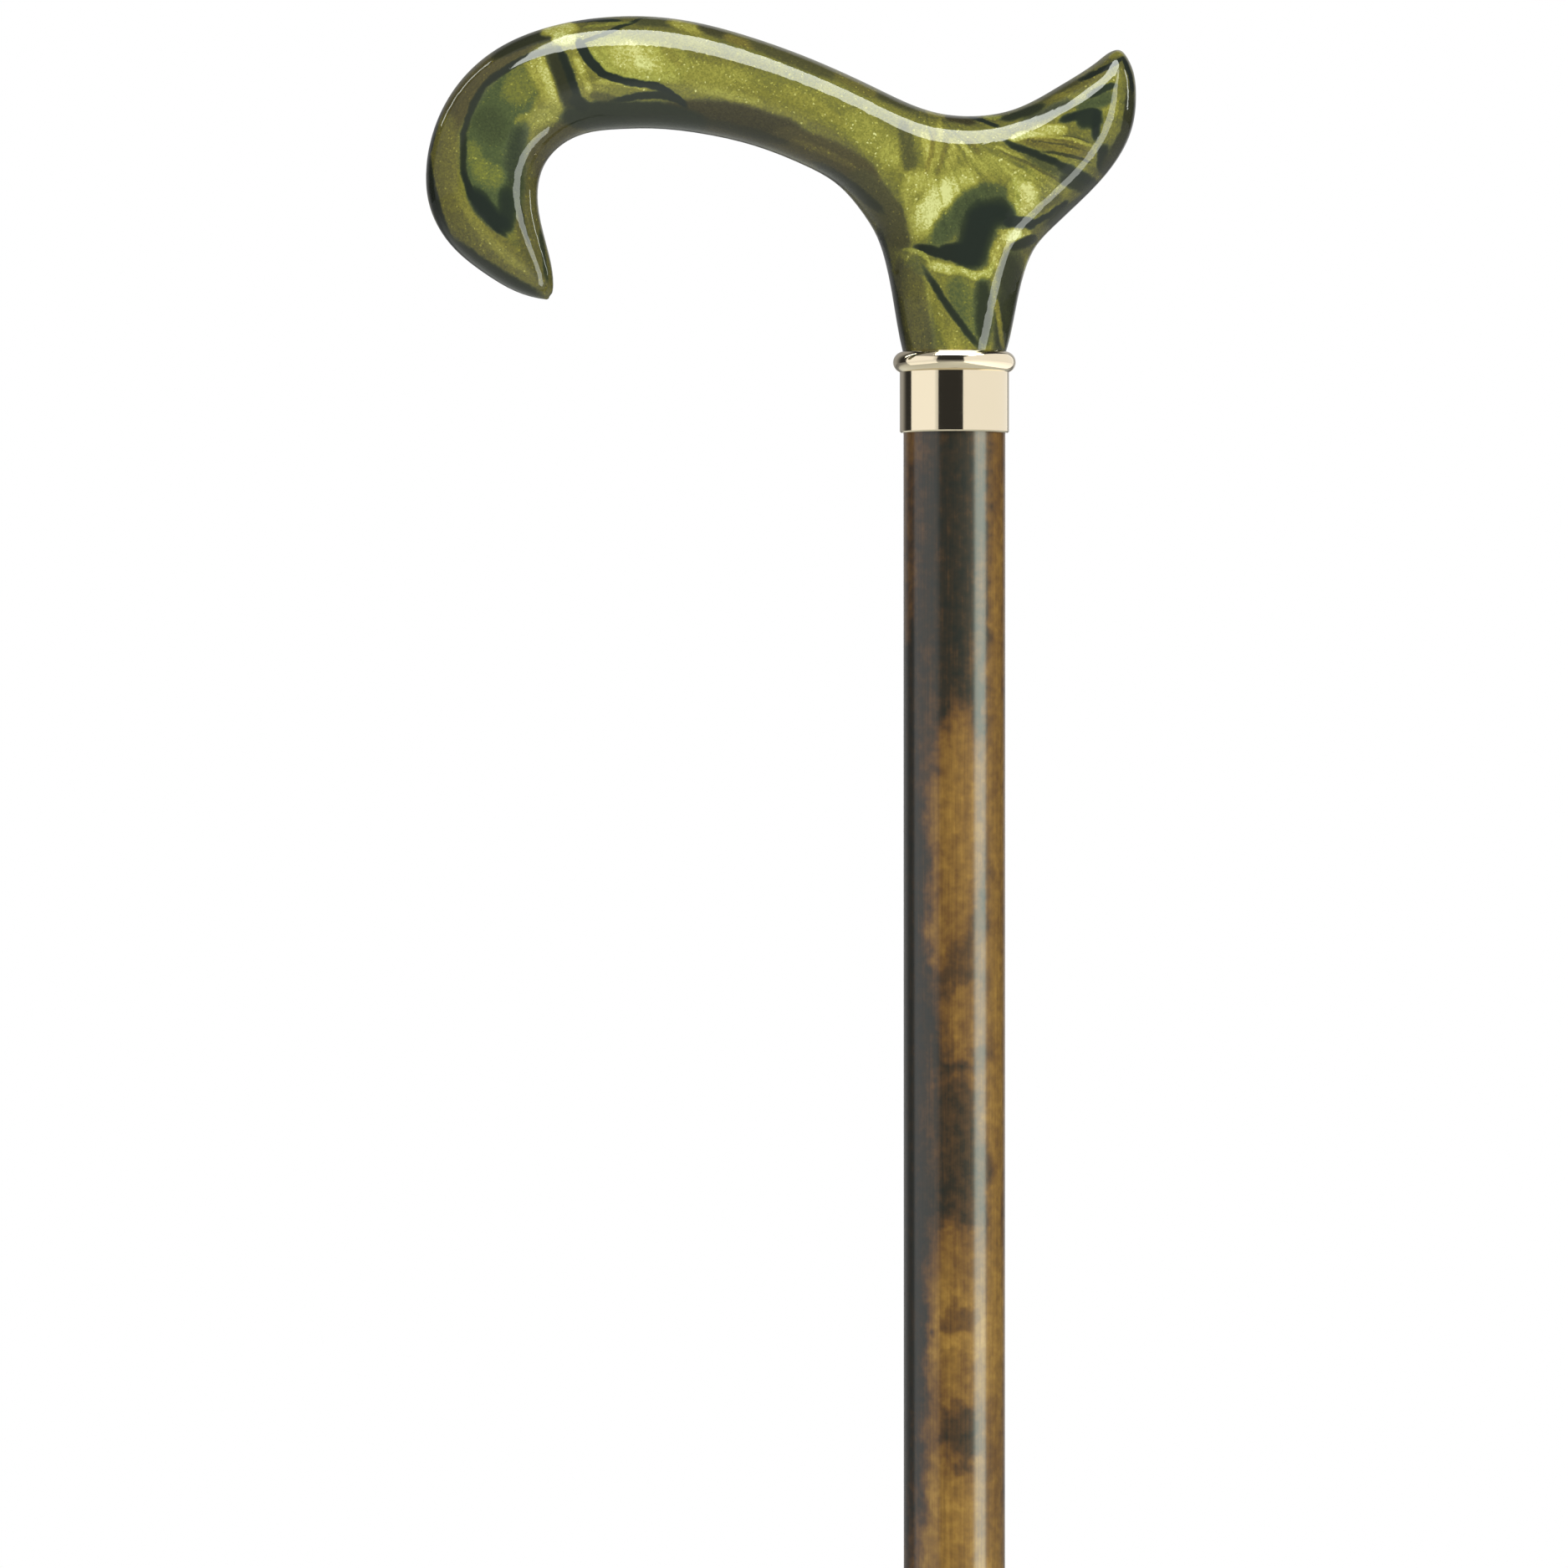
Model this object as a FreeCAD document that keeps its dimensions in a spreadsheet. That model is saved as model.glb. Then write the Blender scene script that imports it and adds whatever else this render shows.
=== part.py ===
# Derby handle cane, in millimetres. The sole of the rubber ferrule stands at the origin, the shaft runs
# up +Z, and the grip lies in the XZ plane with its hooked nose towards -X and its tail towards +X.
#
# A spun brass collar covers the joint between the acrylic grip and the beech shaft. Inside it a hanger
# bolt screws into a brass insert in the grip, and its wood thread is glued into the shaft. A rubber
# ferrule, with a steel washer in its socket, is pushed on to the foot of the shaft.

import FreeCAD, Part
import math
import os
import Sketcher
from FreeCAD import Vector

# Driving sizes: the name of the cell, its value in millimetres or as a count, and what it measures.
DRIVING_SIZES = [
    ("overall_length", 920.0, "sole of the ferrule to the top of the grip"),
    ("overrun", 1.0, "how far each cutting or joining shape runs past the face that it meets"),
    ("handle_length", 132.2, "grip, nose to tail"),
    ("handle_height", 62.4, "grip, top of the collar to its highest point"),
    ("handle_width", 19.0, "grip, thickness across the palm rest"),
    ("neck_ledge", 0.1, "grip, how far its neck overhangs the bore of the collar"),
    ("spigot_length", 3.0, "grip, round step that drops into the collar"),
    ("spigot_clearance", 0.1, "radial gap between that step and the collar"),
    ("insert_wall", 1.42, "brass insert, thickness round the bolt"),
    ("insert_length", 20.0, "brass insert, end to end"),
    ("insert_clearance", 0.05, "radial glue gap round the insert"),
    ("insert_bore_spare", 2.0, "grip, depth of the blind hole past the insert"),
    ("insert_chamfer", 0.5, "brass insert, both ends"),
    ("insert_waist_width", 2.6, "brass insert, plain waist between the knurled bands"),
    ("insert_waist_depth", 0.6, "brass insert, how deep the waist is turned"),
    ("knurl_count", 24, "brass insert, notches round it"),
    ("knurl_depth", 0.35, "brass insert, depth of a notch"),
    ("bolt_diameter", 8.0, "hanger bolt, over both threads"),
    ("bolt_length", 62.0, "hanger bolt, end to end"),
    ("bolt_recess", 2.0, "hanger bolt, how far its top stays inside the insert"),
    ("bolt_shank_length", 4.0, "hanger bolt, plain stretch between the threads"),
    ("bolt_point_length", 4.5, "hanger bolt, tapered end of the wood thread"),
    ("bolt_point_diameter", 3.0, "hanger bolt, flat at the end of the point"),
    ("bolt_chamfer", 0.8, "hanger bolt, machine end"),
    ("bolt_clearance", 0.08, "radial gap round the bolt, in the insert and in the shaft"),
    ("machine_pitch", 1.25, "hanger bolt, spacing of the machine grooves"),
    ("machine_depth", 0.65, "hanger bolt, depth of the machine grooves"),
    ("machine_crest", 0.2, "hanger bolt, flat between two machine grooves"),
    ("wood_pitch", 3.0, "hanger bolt, spacing of the wood grooves"),
    ("wood_depth", 1.1, "hanger bolt, depth of the wood grooves"),
    ("wood_crest", 0.7, "hanger bolt, flat between two wood grooves"),
    ("collar_height", 15.2, "collar, bottom edge to the top of the bead"),
    ("collar_wall", 0.65, "collar, thickness of the brass"),
    ("collar_clearance", 0.05, "radial glue gap between collar and shaft"),
    ("collar_bead_reach", 1.25, "collar, how far the rolled bead stands out from the sleeve"),
    ("collar_bead_height", 4.05, "collar, height of the bead"),
    ("collar_chamfer", 0.25, "collar, outside of the bottom edge"),
    ("shaft_top_diameter", 19.0, "shaft, inside the collar"),
    ("shaft_foot_diameter", 18.5, "shaft, inside the ferrule"),
    ("shaft_bore_spare", 2.0, "shaft, depth of the hole below the point of the bolt"),
    ("shaft_chamfer", 1.0, "shaft, lead-in at the foot"),
    ("ferrule_height", 46.0, "ferrule, sole to rim"),
    ("ferrule_wall", 3.4, "ferrule, rubber round the socket just above the flare"),
    ("ferrule_rim_wall", 2.7, "ferrule, rubber round the socket at the rim"),
    ("ferrule_foot_reach", 3.3, "ferrule, how far the flared foot stands out from its body"),
    ("ferrule_foot_height", 5.0, "ferrule, upright edge of the foot"),
    ("ferrule_flare_height", 14.0, "ferrule, top of the flare above the sole"),
    ("ferrule_bead_diameter", 2.4, "ferrule, thickness of the bead round the rim"),
    ("ferrule_sole_thickness", 8.0, "ferrule, rubber under the washer"),
    ("ferrule_clearance", 0.05, "radial gap in the socket, where the real rubber grips"),
    ("ferrule_foot_round", 1.6, "ferrule, rounding of both edges of the foot"),
    ("ferrule_waist_round", 6.0, "ferrule, hollow rounding above the flare"),
    ("tread_count", 3, "ferrule, ring grooves in the sole"),
    ("tread_depth", 1.2, "ferrule, depth of a ring groove"),
    ("tread_width", 1.8, "ferrule, width of a ring groove"),
    ("tread_pitch", 3.9, "ferrule, spacing of the ring grooves"),
    ("tread_radius", 3.6, "ferrule, inner edge of the first ring groove"),
    ("washer_clearance", 0.3, "radial gap between the steel washer and the socket"),
    ("washer_thickness", 1.2, "steel washer"),
    ("washer_hole_diameter", 6.0, "steel washer, hole"),
]

doc = FreeCAD.newDocument("DerbyHandleCane")
sheet = doc.addObject("Spreadsheet::Sheet", "Sizes")
for row, (alias, value, meaning) in enumerate(DRIVING_SIZES, start=1):
    sheet.set(f"A{row}", meaning)
    sheet.set(f"B{row}", str(value))
    sheet.setAlias(f"B{row}", alias)
doc.recompute()


def number(expression):
    """The value of an expression on the sheet."""
    return float(sheet.evalExpression(expression))


# Heights that several pieces share.
collar_top = "(Sizes.overall_length - Sizes.handle_height)"
joint_height = f"({collar_top} - Sizes.spigot_length)"
collar_foot = f"({collar_top} - Sizes.collar_height)"
washer_top = "(Sizes.ferrule_sole_thickness + Sizes.washer_thickness)"

# Radii that one piece takes from the piece it fits.
shaft_top_radius = "(Sizes.shaft_top_diameter / 2)"
shaft_foot_radius = "(Sizes.shaft_foot_diameter / 2)"
socket_radius = f"({shaft_foot_radius} + Sizes.ferrule_clearance)"
collar_bore_radius = f"({shaft_top_radius} + Sizes.collar_clearance)"
sleeve_radius = f"({collar_bore_radius} + Sizes.collar_wall)"
spigot_radius = f"({collar_bore_radius} - Sizes.spigot_clearance)"
neck_radius = f"({collar_bore_radius} + Sizes.neck_ledge)"
bolt_radius = "(Sizes.bolt_diameter / 2)"
bolt_hole_radius = f"({bolt_radius} + Sizes.bolt_clearance)"
insert_radius = f"({bolt_hole_radius} + Sizes.insert_wall)"

# Lengths of the hanger bolt above and below the top of the shaft.
bolt_upper_length = "(Sizes.insert_length - Sizes.bolt_recess)"
bolt_lower_length = f"(Sizes.bolt_length - {bolt_upper_length})"


def new_body(label, height="0"):
    """An empty body whose foot stands at a height."""
    body = doc.addObject("PartDesign::Body", label)
    body.Label = label
    body.setExpression("Placement.Base.z", height)
    return body


def new_sketch(body, role, name):
    """An empty sketch on one of a body's own origin planes."""
    sketch = body.newObject("Sketcher::SketchObject", f"{body.Name}_{name}")
    plane = next(item for item in body.Origin.OriginFeatures if item.Role == role)
    sketch.AttachmentSupport = [(plane, "")]
    sketch.MapMode = "FlatFace"
    return sketch


def hold_point(sketch, geometry, point, across, up):
    """Ties a point of a sketch to its origin, by one expression across and one up."""
    for direction, expression, axis in (("DistanceX", across, -2), ("DistanceY", up, -1)):
        if expression == "0":
            sketch.addConstraint(Sketcher.Constraint("PointOnObject", geometry, point, axis))
            continue
        rule = Sketcher.Constraint(direction, -1, 1, geometry, point, number(expression))
        index = sketch.addConstraint(rule)
        sketch.renameConstraint(index, f"{direction}_{geometry}")
        sketch.setExpression(f"Constraints.{direction}_{geometry}", expression)


def draw_loop(sketch, corners):
    """Straight lines round a closed loop of corners, each given by two expressions."""
    first = sketch.GeometryCount
    places = [Vector(number(across), number(up), 0) for across, up in corners]
    for here, there in zip(places, places[1:] + places[:1]):
        sketch.addGeometry(Part.LineSegment(here, there))
    for index, (across, up) in enumerate(corners):
        follower = (index + 1) % len(corners)
        joint = Sketcher.Constraint("Coincident", first + index, 2, first + follower, 1)
        sketch.addConstraint(joint)
        hold_point(sketch, first + index, 1, across, up)


def draw_circle(sketch, across, up, radius):
    """A circle given by three expressions."""
    centre = Vector(number(across), number(up), 0)
    circle = sketch.addGeometry(Part.Circle(centre, Vector(0, 0, 1), number(radius)))
    index = sketch.addConstraint(Sketcher.Constraint("Radius", circle, number(radius)))
    sketch.renameConstraint(index, f"radius_{circle}")
    sketch.setExpression(f"Constraints.radius_{circle}", radius)
    hold_point(sketch, circle, 3, across, up)


def turn(body, sketch, kind="PartDesign::Revolution"):
    """Turns a sketch right round the body's axis, to add (Revolution) or to cut (Groove)."""
    before = 0 if body.Shape.isNull() else body.Shape.Volume
    feature = body.newObject(kind, f"{sketch.Name}_turned")
    feature.Profile = sketch
    feature.ReferenceAxis = (sketch, ["V_Axis"])
    feature.Angle = 360
    doc.recompute()
    grew = feature.Shape.Volume > before
    if grew != (kind == "PartDesign::Revolution"):
        raise RuntimeError(f"{feature.Name} works on the wrong side")
    return feature


def repeat(body, kind, feature, **properties):
    """Patterns a feature of a body and checks that the copies take material away."""
    before = body.Shape.Volume
    pattern = body.newObject(kind, f"{feature.Name}_repeated")
    pattern.Originals = [feature]
    for name, value in properties.items():
        if isinstance(value, str):
            pattern.setExpression(name, value)
        else:
            setattr(pattern, name, value)
    body.Tip = pattern
    doc.recompute()
    if pattern.Shape.Volume >= before:
        raise RuntimeError(f"{pattern.Name} cuts nothing")
    return pattern


def is_ring(edge, radius, height):
    """True for a round edge of a radius at a height."""
    if not isinstance(edge.Curve, Part.Circle):
        return False
    nearly = 1e-6 * number("Sizes.overall_length")
    same_radius = abs(edge.Curve.Radius - number(radius)) < nearly
    return same_radius and abs(edge.Curve.Center.z - number(height)) < nearly


def round_rings(body, rounding, rings):
    """Fillets the round edges of a body's last feature, each given by its radius and height."""
    base = body.Tip
    names = [f"Edge{n}" for n, edge in enumerate(base.Shape.Edges, start=1)
             if any(is_ring(edge, radius, height) for radius, height in rings)]
    fillet = body.newObject("PartDesign::Fillet", f"{body.Name}_round")
    fillet.Base = (base, names)
    fillet.setExpression("Radius", rounding)
    doc.recompute()
    return fillet


# Ferrule. Moulded black rubber: a flared foot with ring grooves in the sole, a tapered body and a bead
# round the rim. Its socket is open at the top.
ferrule = new_body("ferrule")
body_radius = f"({socket_radius} + Sizes.ferrule_wall)"
foot_radius = f"({body_radius} + Sizes.ferrule_foot_reach)"
rim_radius = f"({socket_radius} + Sizes.ferrule_rim_wall)"
rim_bead_radius = "(Sizes.ferrule_bead_diameter / 2)"
profile = new_sketch(ferrule, "XZ_Plane", "profile")
draw_loop(profile, [
    ("0", "0"),
    (foot_radius, "0"),
    (foot_radius, "Sizes.ferrule_foot_height"),
    (body_radius, "Sizes.ferrule_flare_height"),
    (rim_radius, "Sizes.ferrule_height"),
    (socket_radius, "Sizes.ferrule_height"),
    (socket_radius, "Sizes.ferrule_sole_thickness"),
    ("0", "Sizes.ferrule_sole_thickness"),
])
turn(ferrule, profile)
round_rings(ferrule, "Sizes.ferrule_foot_round",
            [(foot_radius, "0"), (foot_radius, "Sizes.ferrule_foot_height")])
round_rings(ferrule, "Sizes.ferrule_waist_round", [(body_radius, "Sizes.ferrule_flare_height")])
rim_bead = new_sketch(ferrule, "XZ_Plane", "rim_bead")
draw_circle(rim_bead, rim_radius, f"(Sizes.ferrule_height - {rim_bead_radius})", rim_bead_radius)
turn(ferrule, rim_bead)
treads = new_sketch(ferrule, "XZ_Plane", "treads")
for ring in range(int(number("Sizes.tread_count"))):
    inner = f"(Sizes.tread_radius + {ring} * Sizes.tread_pitch)"
    outer = f"({inner} + Sizes.tread_width)"
    draw_loop(treads, [
        (inner, "0"),
        (outer, "0"),
        (outer, "Sizes.tread_depth"),
        (inner, "Sizes.tread_depth"),
    ])
turn(ferrule, treads, "PartDesign::Groove")


# Washer. A stamped steel disc at the bottom of the socket, so that the shaft doesn't punch through.
washer = new_body("ferrule_washer", "Sizes.ferrule_sole_thickness")
disc = new_sketch(washer, "XY_Plane", "disc")
draw_circle(disc, "0", "0", f"({socket_radius} - Sizes.washer_clearance)")
draw_circle(disc, "0", "0", "(Sizes.washer_hole_diameter / 2)")
stamping = washer.newObject("PartDesign::Pad", "washer_stamping")
stamping.Profile = disc
stamping.setExpression("Length", "Sizes.washer_thickness")


# Shaft. Turned beech: straight inside the ferrule and inside the collar, with a slight taper between,
# and a drilled hole for the hanger bolt in its top end.
shaft = new_body("shaft", washer_top)
shaft_length = f"({joint_height} - {washer_top})"
bore_floor = f"({shaft_length} - {bolt_lower_length} - Sizes.shaft_bore_spare)"
DRILL_POINT_SHARE = 0.6
shape = new_sketch(shaft, "XZ_Plane", "profile")
draw_loop(shape, [
    ("0", "0"),
    (f"({shaft_foot_radius} - Sizes.shaft_chamfer)", "0"),
    (shaft_foot_radius, "Sizes.shaft_chamfer"),
    (shaft_foot_radius, f"(Sizes.ferrule_height - {washer_top})"),
    (shaft_top_radius, f"({collar_foot} - {washer_top})"),
    (shaft_top_radius, shaft_length),
    (bolt_hole_radius, shaft_length),
    (bolt_hole_radius, bore_floor),
    ("0", f"({bore_floor} - {DRILL_POINT_SHARE} * {bolt_hole_radius})"),
])
turn(shaft, shape)


# Collar. Spun from brass tube: a straight sleeve with a hollow bead rolled out at its top edge, on
# which the neck of the grip rests.
collar = new_body("collar", collar_foot)
bead_radius = "(Sizes.collar_bead_height / 2)"
bead_centre = f"({sleeve_radius} + Sizes.collar_bead_reach - {bead_radius})"
bead_height = f"(Sizes.collar_height - {bead_radius})"
sleeve = new_sketch(collar, "XZ_Plane", "sleeve")
draw_loop(sleeve, [
    (collar_bore_radius, "0"),
    (f"({sleeve_radius} - Sizes.collar_chamfer)", "0"),
    (sleeve_radius, "Sizes.collar_chamfer"),
    (sleeve_radius, bead_height),
    (collar_bore_radius, bead_height),
])
turn(collar, sleeve)
bead = new_sketch(collar, "XZ_Plane", "bead")
draw_circle(bead, bead_centre, bead_height, bead_radius)
turn(collar, bead)
hollow = new_sketch(collar, "XZ_Plane", "hollow")
draw_circle(hollow, bead_centre, bead_height, f"({bead_radius} - Sizes.collar_wall)")
turn(collar, hollow, "PartDesign::Groove")
bore = new_sketch(collar, "XZ_Plane", "bore")
draw_loop(bore, [
    ("0", "0"),
    (collar_bore_radius, "0"),
    (collar_bore_radius, "(Sizes.collar_height + Sizes.overrun)"),
    ("0", "(Sizes.collar_height + Sizes.overrun)"),
])
turn(collar, bore, "PartDesign::Groove")


# Hanger bolt. Zinc-plated steel: a machine thread above the shaft, a plain shank and a wood thread with
# a point below it. The threads are rings of grooves.
bolt = new_body("hanger_bolt", f"({joint_height} - {bolt_lower_length})")
blank = new_sketch(bolt, "XZ_Plane", "blank")
draw_loop(blank, [
    ("0", "0"),
    ("(Sizes.bolt_point_diameter / 2)", "0"),
    (bolt_radius, "Sizes.bolt_point_length"),
    (bolt_radius, "(Sizes.bolt_length - Sizes.bolt_chamfer)"),
    (f"({bolt_radius} - Sizes.bolt_chamfer)", "Sizes.bolt_length"),
    ("0", "Sizes.bolt_length"),
])
turn(bolt, blank)


def cut_thread(name, pitch, depth, crest, start, length):
    """A ring groove at a height on the bolt, repeated up a length at a pitch."""
    groove = new_sketch(bolt, "XZ_Plane", name)
    half_gap = f"(({pitch} - {crest}) / 2)"
    middle = f"({start} + {pitch} / 2)"
    outside = f"({bolt_radius} + Sizes.overrun)"
    draw_loop(groove, [
        (f"({bolt_radius} - {depth})", middle),
        (bolt_radius, f"({middle} - {half_gap})"),
        (outside, f"({middle} - {half_gap})"),
        (outside, f"({middle} + {half_gap})"),
        (bolt_radius, f"({middle} + {half_gap})"),
    ])
    ring = turn(bolt, groove, "PartDesign::Groove")
    repeat(bolt, "PartDesign::LinearPattern", ring,
           Direction=(groove, ["V_Axis"]),
           Length=f"(floor({length} / {pitch}) - 1) * {pitch}",
           Occurrences=f"floor({length} / {pitch})")


wood_length = f"({bolt_lower_length} - Sizes.bolt_shank_length - Sizes.bolt_point_length)"
cut_thread("wood_groove", "Sizes.wood_pitch", "Sizes.wood_depth", "Sizes.wood_crest",
           "Sizes.bolt_point_length", wood_length)
cut_thread("machine_groove", "Sizes.machine_pitch", "Sizes.machine_depth", "Sizes.machine_crest",
           bolt_lower_length, f"({bolt_upper_length} - Sizes.bolt_chamfer)")


# Insert. Turned brass, glued into the grip: two bands of straight knurling with a plain waist between
# them, and a threaded hole for the bolt right through.
insert = new_body("handle_insert", joint_height)
waist_foot = "((Sizes.insert_length - Sizes.insert_waist_width) / 2)"
waist_top = f"({waist_foot} + Sizes.insert_waist_width)"
waist_radius = f"({insert_radius} - Sizes.insert_waist_depth)"
chamfer_radius = f"({insert_radius} - Sizes.insert_chamfer)"
turning = new_sketch(insert, "XZ_Plane", "profile")
draw_loop(turning, [
    (bolt_hole_radius, "0"),
    (chamfer_radius, "0"),
    (insert_radius, "Sizes.insert_chamfer"),
    (insert_radius, waist_foot),
    (waist_radius, waist_foot),
    (waist_radius, waist_top),
    (insert_radius, waist_top),
    (insert_radius, "(Sizes.insert_length - Sizes.insert_chamfer)"),
    (chamfer_radius, "Sizes.insert_length"),
    (bolt_hole_radius, "Sizes.insert_length"),
])
turn(insert, turning)
notch = new_sketch(insert, "XY_Plane", "notch")
notch_reach = f"({insert_radius} + Sizes.knurl_depth)"
draw_loop(notch, [
    (f"({insert_radius} - Sizes.knurl_depth)", "0"),
    (notch_reach, "(-2 * Sizes.knurl_depth)"),
    (notch_reach, "(2 * Sizes.knurl_depth)"),
])
knurl = insert.newObject("PartDesign::Pocket", "insert_knurl")
knurl.Profile = notch
knurl.Reversed = True
knurl.setExpression("Length", "Sizes.insert_length")
doc.recompute()
repeat(insert, "PartDesign::PolarPattern", knurl,
       Axis=(notch, ["N_Axis"]), Angle=360.0, Occurrences="Sizes.knurl_count")


# Grip. Cast acrylic, turned and carved by hand: a hooked nose, a palm rest, a flared tail and a neck
# that narrows to the collar. Two outlines in the XZ plane, from the tip of the hook to the neck, give
# its shape seen from the side. Their points are shares of the grip's length, from the axis of the shaft,
# and of its height, from the top of the collar.
HOOK_AND_NECK_SHARES = [
    (-0.576, 0.156), (-0.568, 0.170), (-0.565, 0.206), (-0.570, 0.281), (-0.584, 0.401),
    (-0.587, 0.476), (-0.579, 0.551), (-0.5555, 0.6135), (-0.520, 0.651), (-0.473, 0.664),
    (-0.425, 0.666), (-0.354, 0.650), (-0.284, 0.616), (-0.213, 0.558), (-0.166, 0.501),
    (-0.131, 0.419), (-0.110, 0.347), (-0.097, 0.265), (-0.087, 0.161), (-0.079, 0.060),
]
NOSE_AND_TAIL_SHARES = [
    (-0.576, 0.156), (-0.614, 0.176), (-0.661, 0.232), (-0.708, 0.315), (-0.739, 0.431),
    (-0.744, 0.551), (-0.732, 0.671), (-0.702, 0.791), (-0.649, 0.897), (-0.579, 0.964),
    (-0.484, 0.999), (-0.390, 0.992), (-0.296, 0.945), (-0.202, 0.874), (-0.107, 0.783),
    (-0.025, 0.713), (0.028, 0.703), (0.081, 0.721), (0.152, 0.798), (0.205, 0.872),
    (0.232, 0.900), (0.246, 0.868), (0.256, 0.776), (0.251, 0.671), (0.222, 0.551),
    (0.169, 0.431), (0.139, 0.371), (0.114, 0.311), (0.101, 0.251), (0.087, 0.131),
]

# Each rib of the grip spans the two outlines: how far along the inner and the outer outline it stands,
# how much of the grip's width it has, how far its thickness follows the nearest edges in place of an
# ellipse, and how far it bows. From the palm rest on, the ribs fan out round the inner outline to fill
# the tail, where they bow to meet its top edge less obliquely.
RIB_SHARES = [
    (0.000, 0.000, 0.000, 0.00, 0.000), (0.019, 0.010, 0.210, 0.00, 0.000),
    (0.041, 0.030, 0.470, 0.00, 0.000), (0.083, 0.063, 0.690, 0.00, 0.000),
    (0.128, 0.096, 0.800, 0.00, 0.000), (0.170, 0.129, 0.860, 0.00, 0.000),
    (0.207, 0.165, 0.900, 0.00, 0.000), (0.238, 0.205, 0.910, 0.00, 0.000),
    (0.270, 0.248, 0.920, 0.00, 0.000), (0.310, 0.293, 0.950, 0.00, 0.000),
    (0.365, 0.340, 0.990, 0.00, 0.000), (0.431, 0.385, 1.000, 0.00, 0.000),
    (0.499, 0.428, 1.000, 0.00, 0.000), (0.566, 0.470, 1.000, 0.10, 0.000),
    (0.626, 0.513, 1.000, 0.40, 0.010), (0.676, 0.556, 1.005, 0.75, 0.030),
    (0.715, 0.597, 1.010, 1.00, 0.060), (0.744, 0.637, 1.010, 1.00, 0.090),
    (0.768, 0.677, 1.010, 1.00, 0.120), (0.788, 0.713, 1.010, 1.00, 0.135),
    (0.805, 0.743, 1.010, 1.00, 0.130), (0.821, 0.770, 1.010, 1.00, 0.100),
    (0.836, 0.799, 1.010, 1.00, 0.060), (0.850, 0.831, 1.010, 1.00, 0.020),
    (0.866, 0.865, 1.010, 1.00, -0.010), (0.885, 0.898, 1.010, 1.00, -0.020),
    (0.911, 0.928, 1.013, 0.75, -0.010), (0.950, 0.961, 1.016, 0.30, 0.000),
    (1.000, 1.000, 1.016, 0.00, 0.000),
]
RIBS_PER_ROW = 3
POINTS_PER_HALF_RIB = 16
POINTS_PAST_SEAM = 3
TAIL_TIP_SHARE = 0.741
BOW_PLACE_SHARE = 0.3
EDGE_BLEND_POWER = 4


def outline(shares, neck_side):
    """A smooth edge through an outline's points, down to one side of the neck."""
    length = number("Sizes.handle_length")
    height = number("Sizes.handle_height")
    points = [Vector(along * length, 0, up * height) for along, up in shares]
    points.append(Vector(neck_side, 0, 0))
    curve = Part.BSplineCurve()
    curve.interpolate(points)
    return curve.toShape()


def even_ribs():
    """The table of ribs with evenly spaced ribs added between its rows."""
    rows = range(len(RIB_SHARES))
    stations = [float(row) for row in rows]
    places = Part.BSplineCurve()
    places.interpolate(Points=[Vector(*RIB_SHARES[row][:3]) for row in rows], Parameters=stations)
    forms = Part.BSplineCurve()
    forms.interpolate(Points=[Vector(row, *RIB_SHARES[row][3:]) for row in rows], Parameters=stations)
    ribs = []
    for step in range((len(RIB_SHARES) - 1) * RIBS_PER_ROW + 1):
        station = step / RIBS_PER_ROW
        form = forms.value(station)
        ribs.append((*places.value(station), min(max(form.y, 0), 1), form.z))
    return ribs


def parameter_along(edge, share):
    """The parameter at a share of an edge's length."""
    return edge.getParameterByLength(min(max(share, 0), 1) * edge.Length)


def rounding(point, edges):
    """How full the grip is at a point of its side view: 0 on an edge, 1 as deep in as its own half width."""
    distances = [edge.distToShape(Part.Vertex(point))[0] for edge in edges]
    if min(distances) < 1e-6 * number("Sizes.handle_width"):
        return 0
    nearest = sum(distance ** -EDGE_BLEND_POWER for distance in distances) ** (-1 / EDGE_BLEND_POWER)
    depth = min(nearest / (number("Sizes.handle_width") / 2), 1)
    return math.sqrt(1 - (1 - depth) ** 2)


def half_rib(inner_point, outer_point, half_width, edge_share, bow_share, edges):
    """Points round the +Y side of a rib, from its outer to its inner end and a little past both."""
    span = inner_point - outer_point
    bend = outer_point + span * BOW_PLACE_SHARE + Vector(-span.z, 0, span.x) * bow_share
    points = []
    for step in range(-POINTS_PAST_SEAM, POINTS_PER_HALF_RIB + POINTS_PAST_SEAM + 1):
        turned = math.pi * step / POINTS_PER_HALF_RIB
        along = (1 - math.cos(turned)) / 2
        straight = outer_point + span * along
        bowed = outer_point * (1 - along) ** 2 + bend * (2 * along * (1 - along)) + inner_point * along ** 2
        place = straight * (1 - edge_share) + bowed * edge_share
        aside = math.sin(turned)
        if edge_share > 0:
            aside += edge_share * (math.copysign(rounding(place, edges), aside) - aside)
        points.append(place + Vector(0, aside * half_width, 0))
    return points


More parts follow.
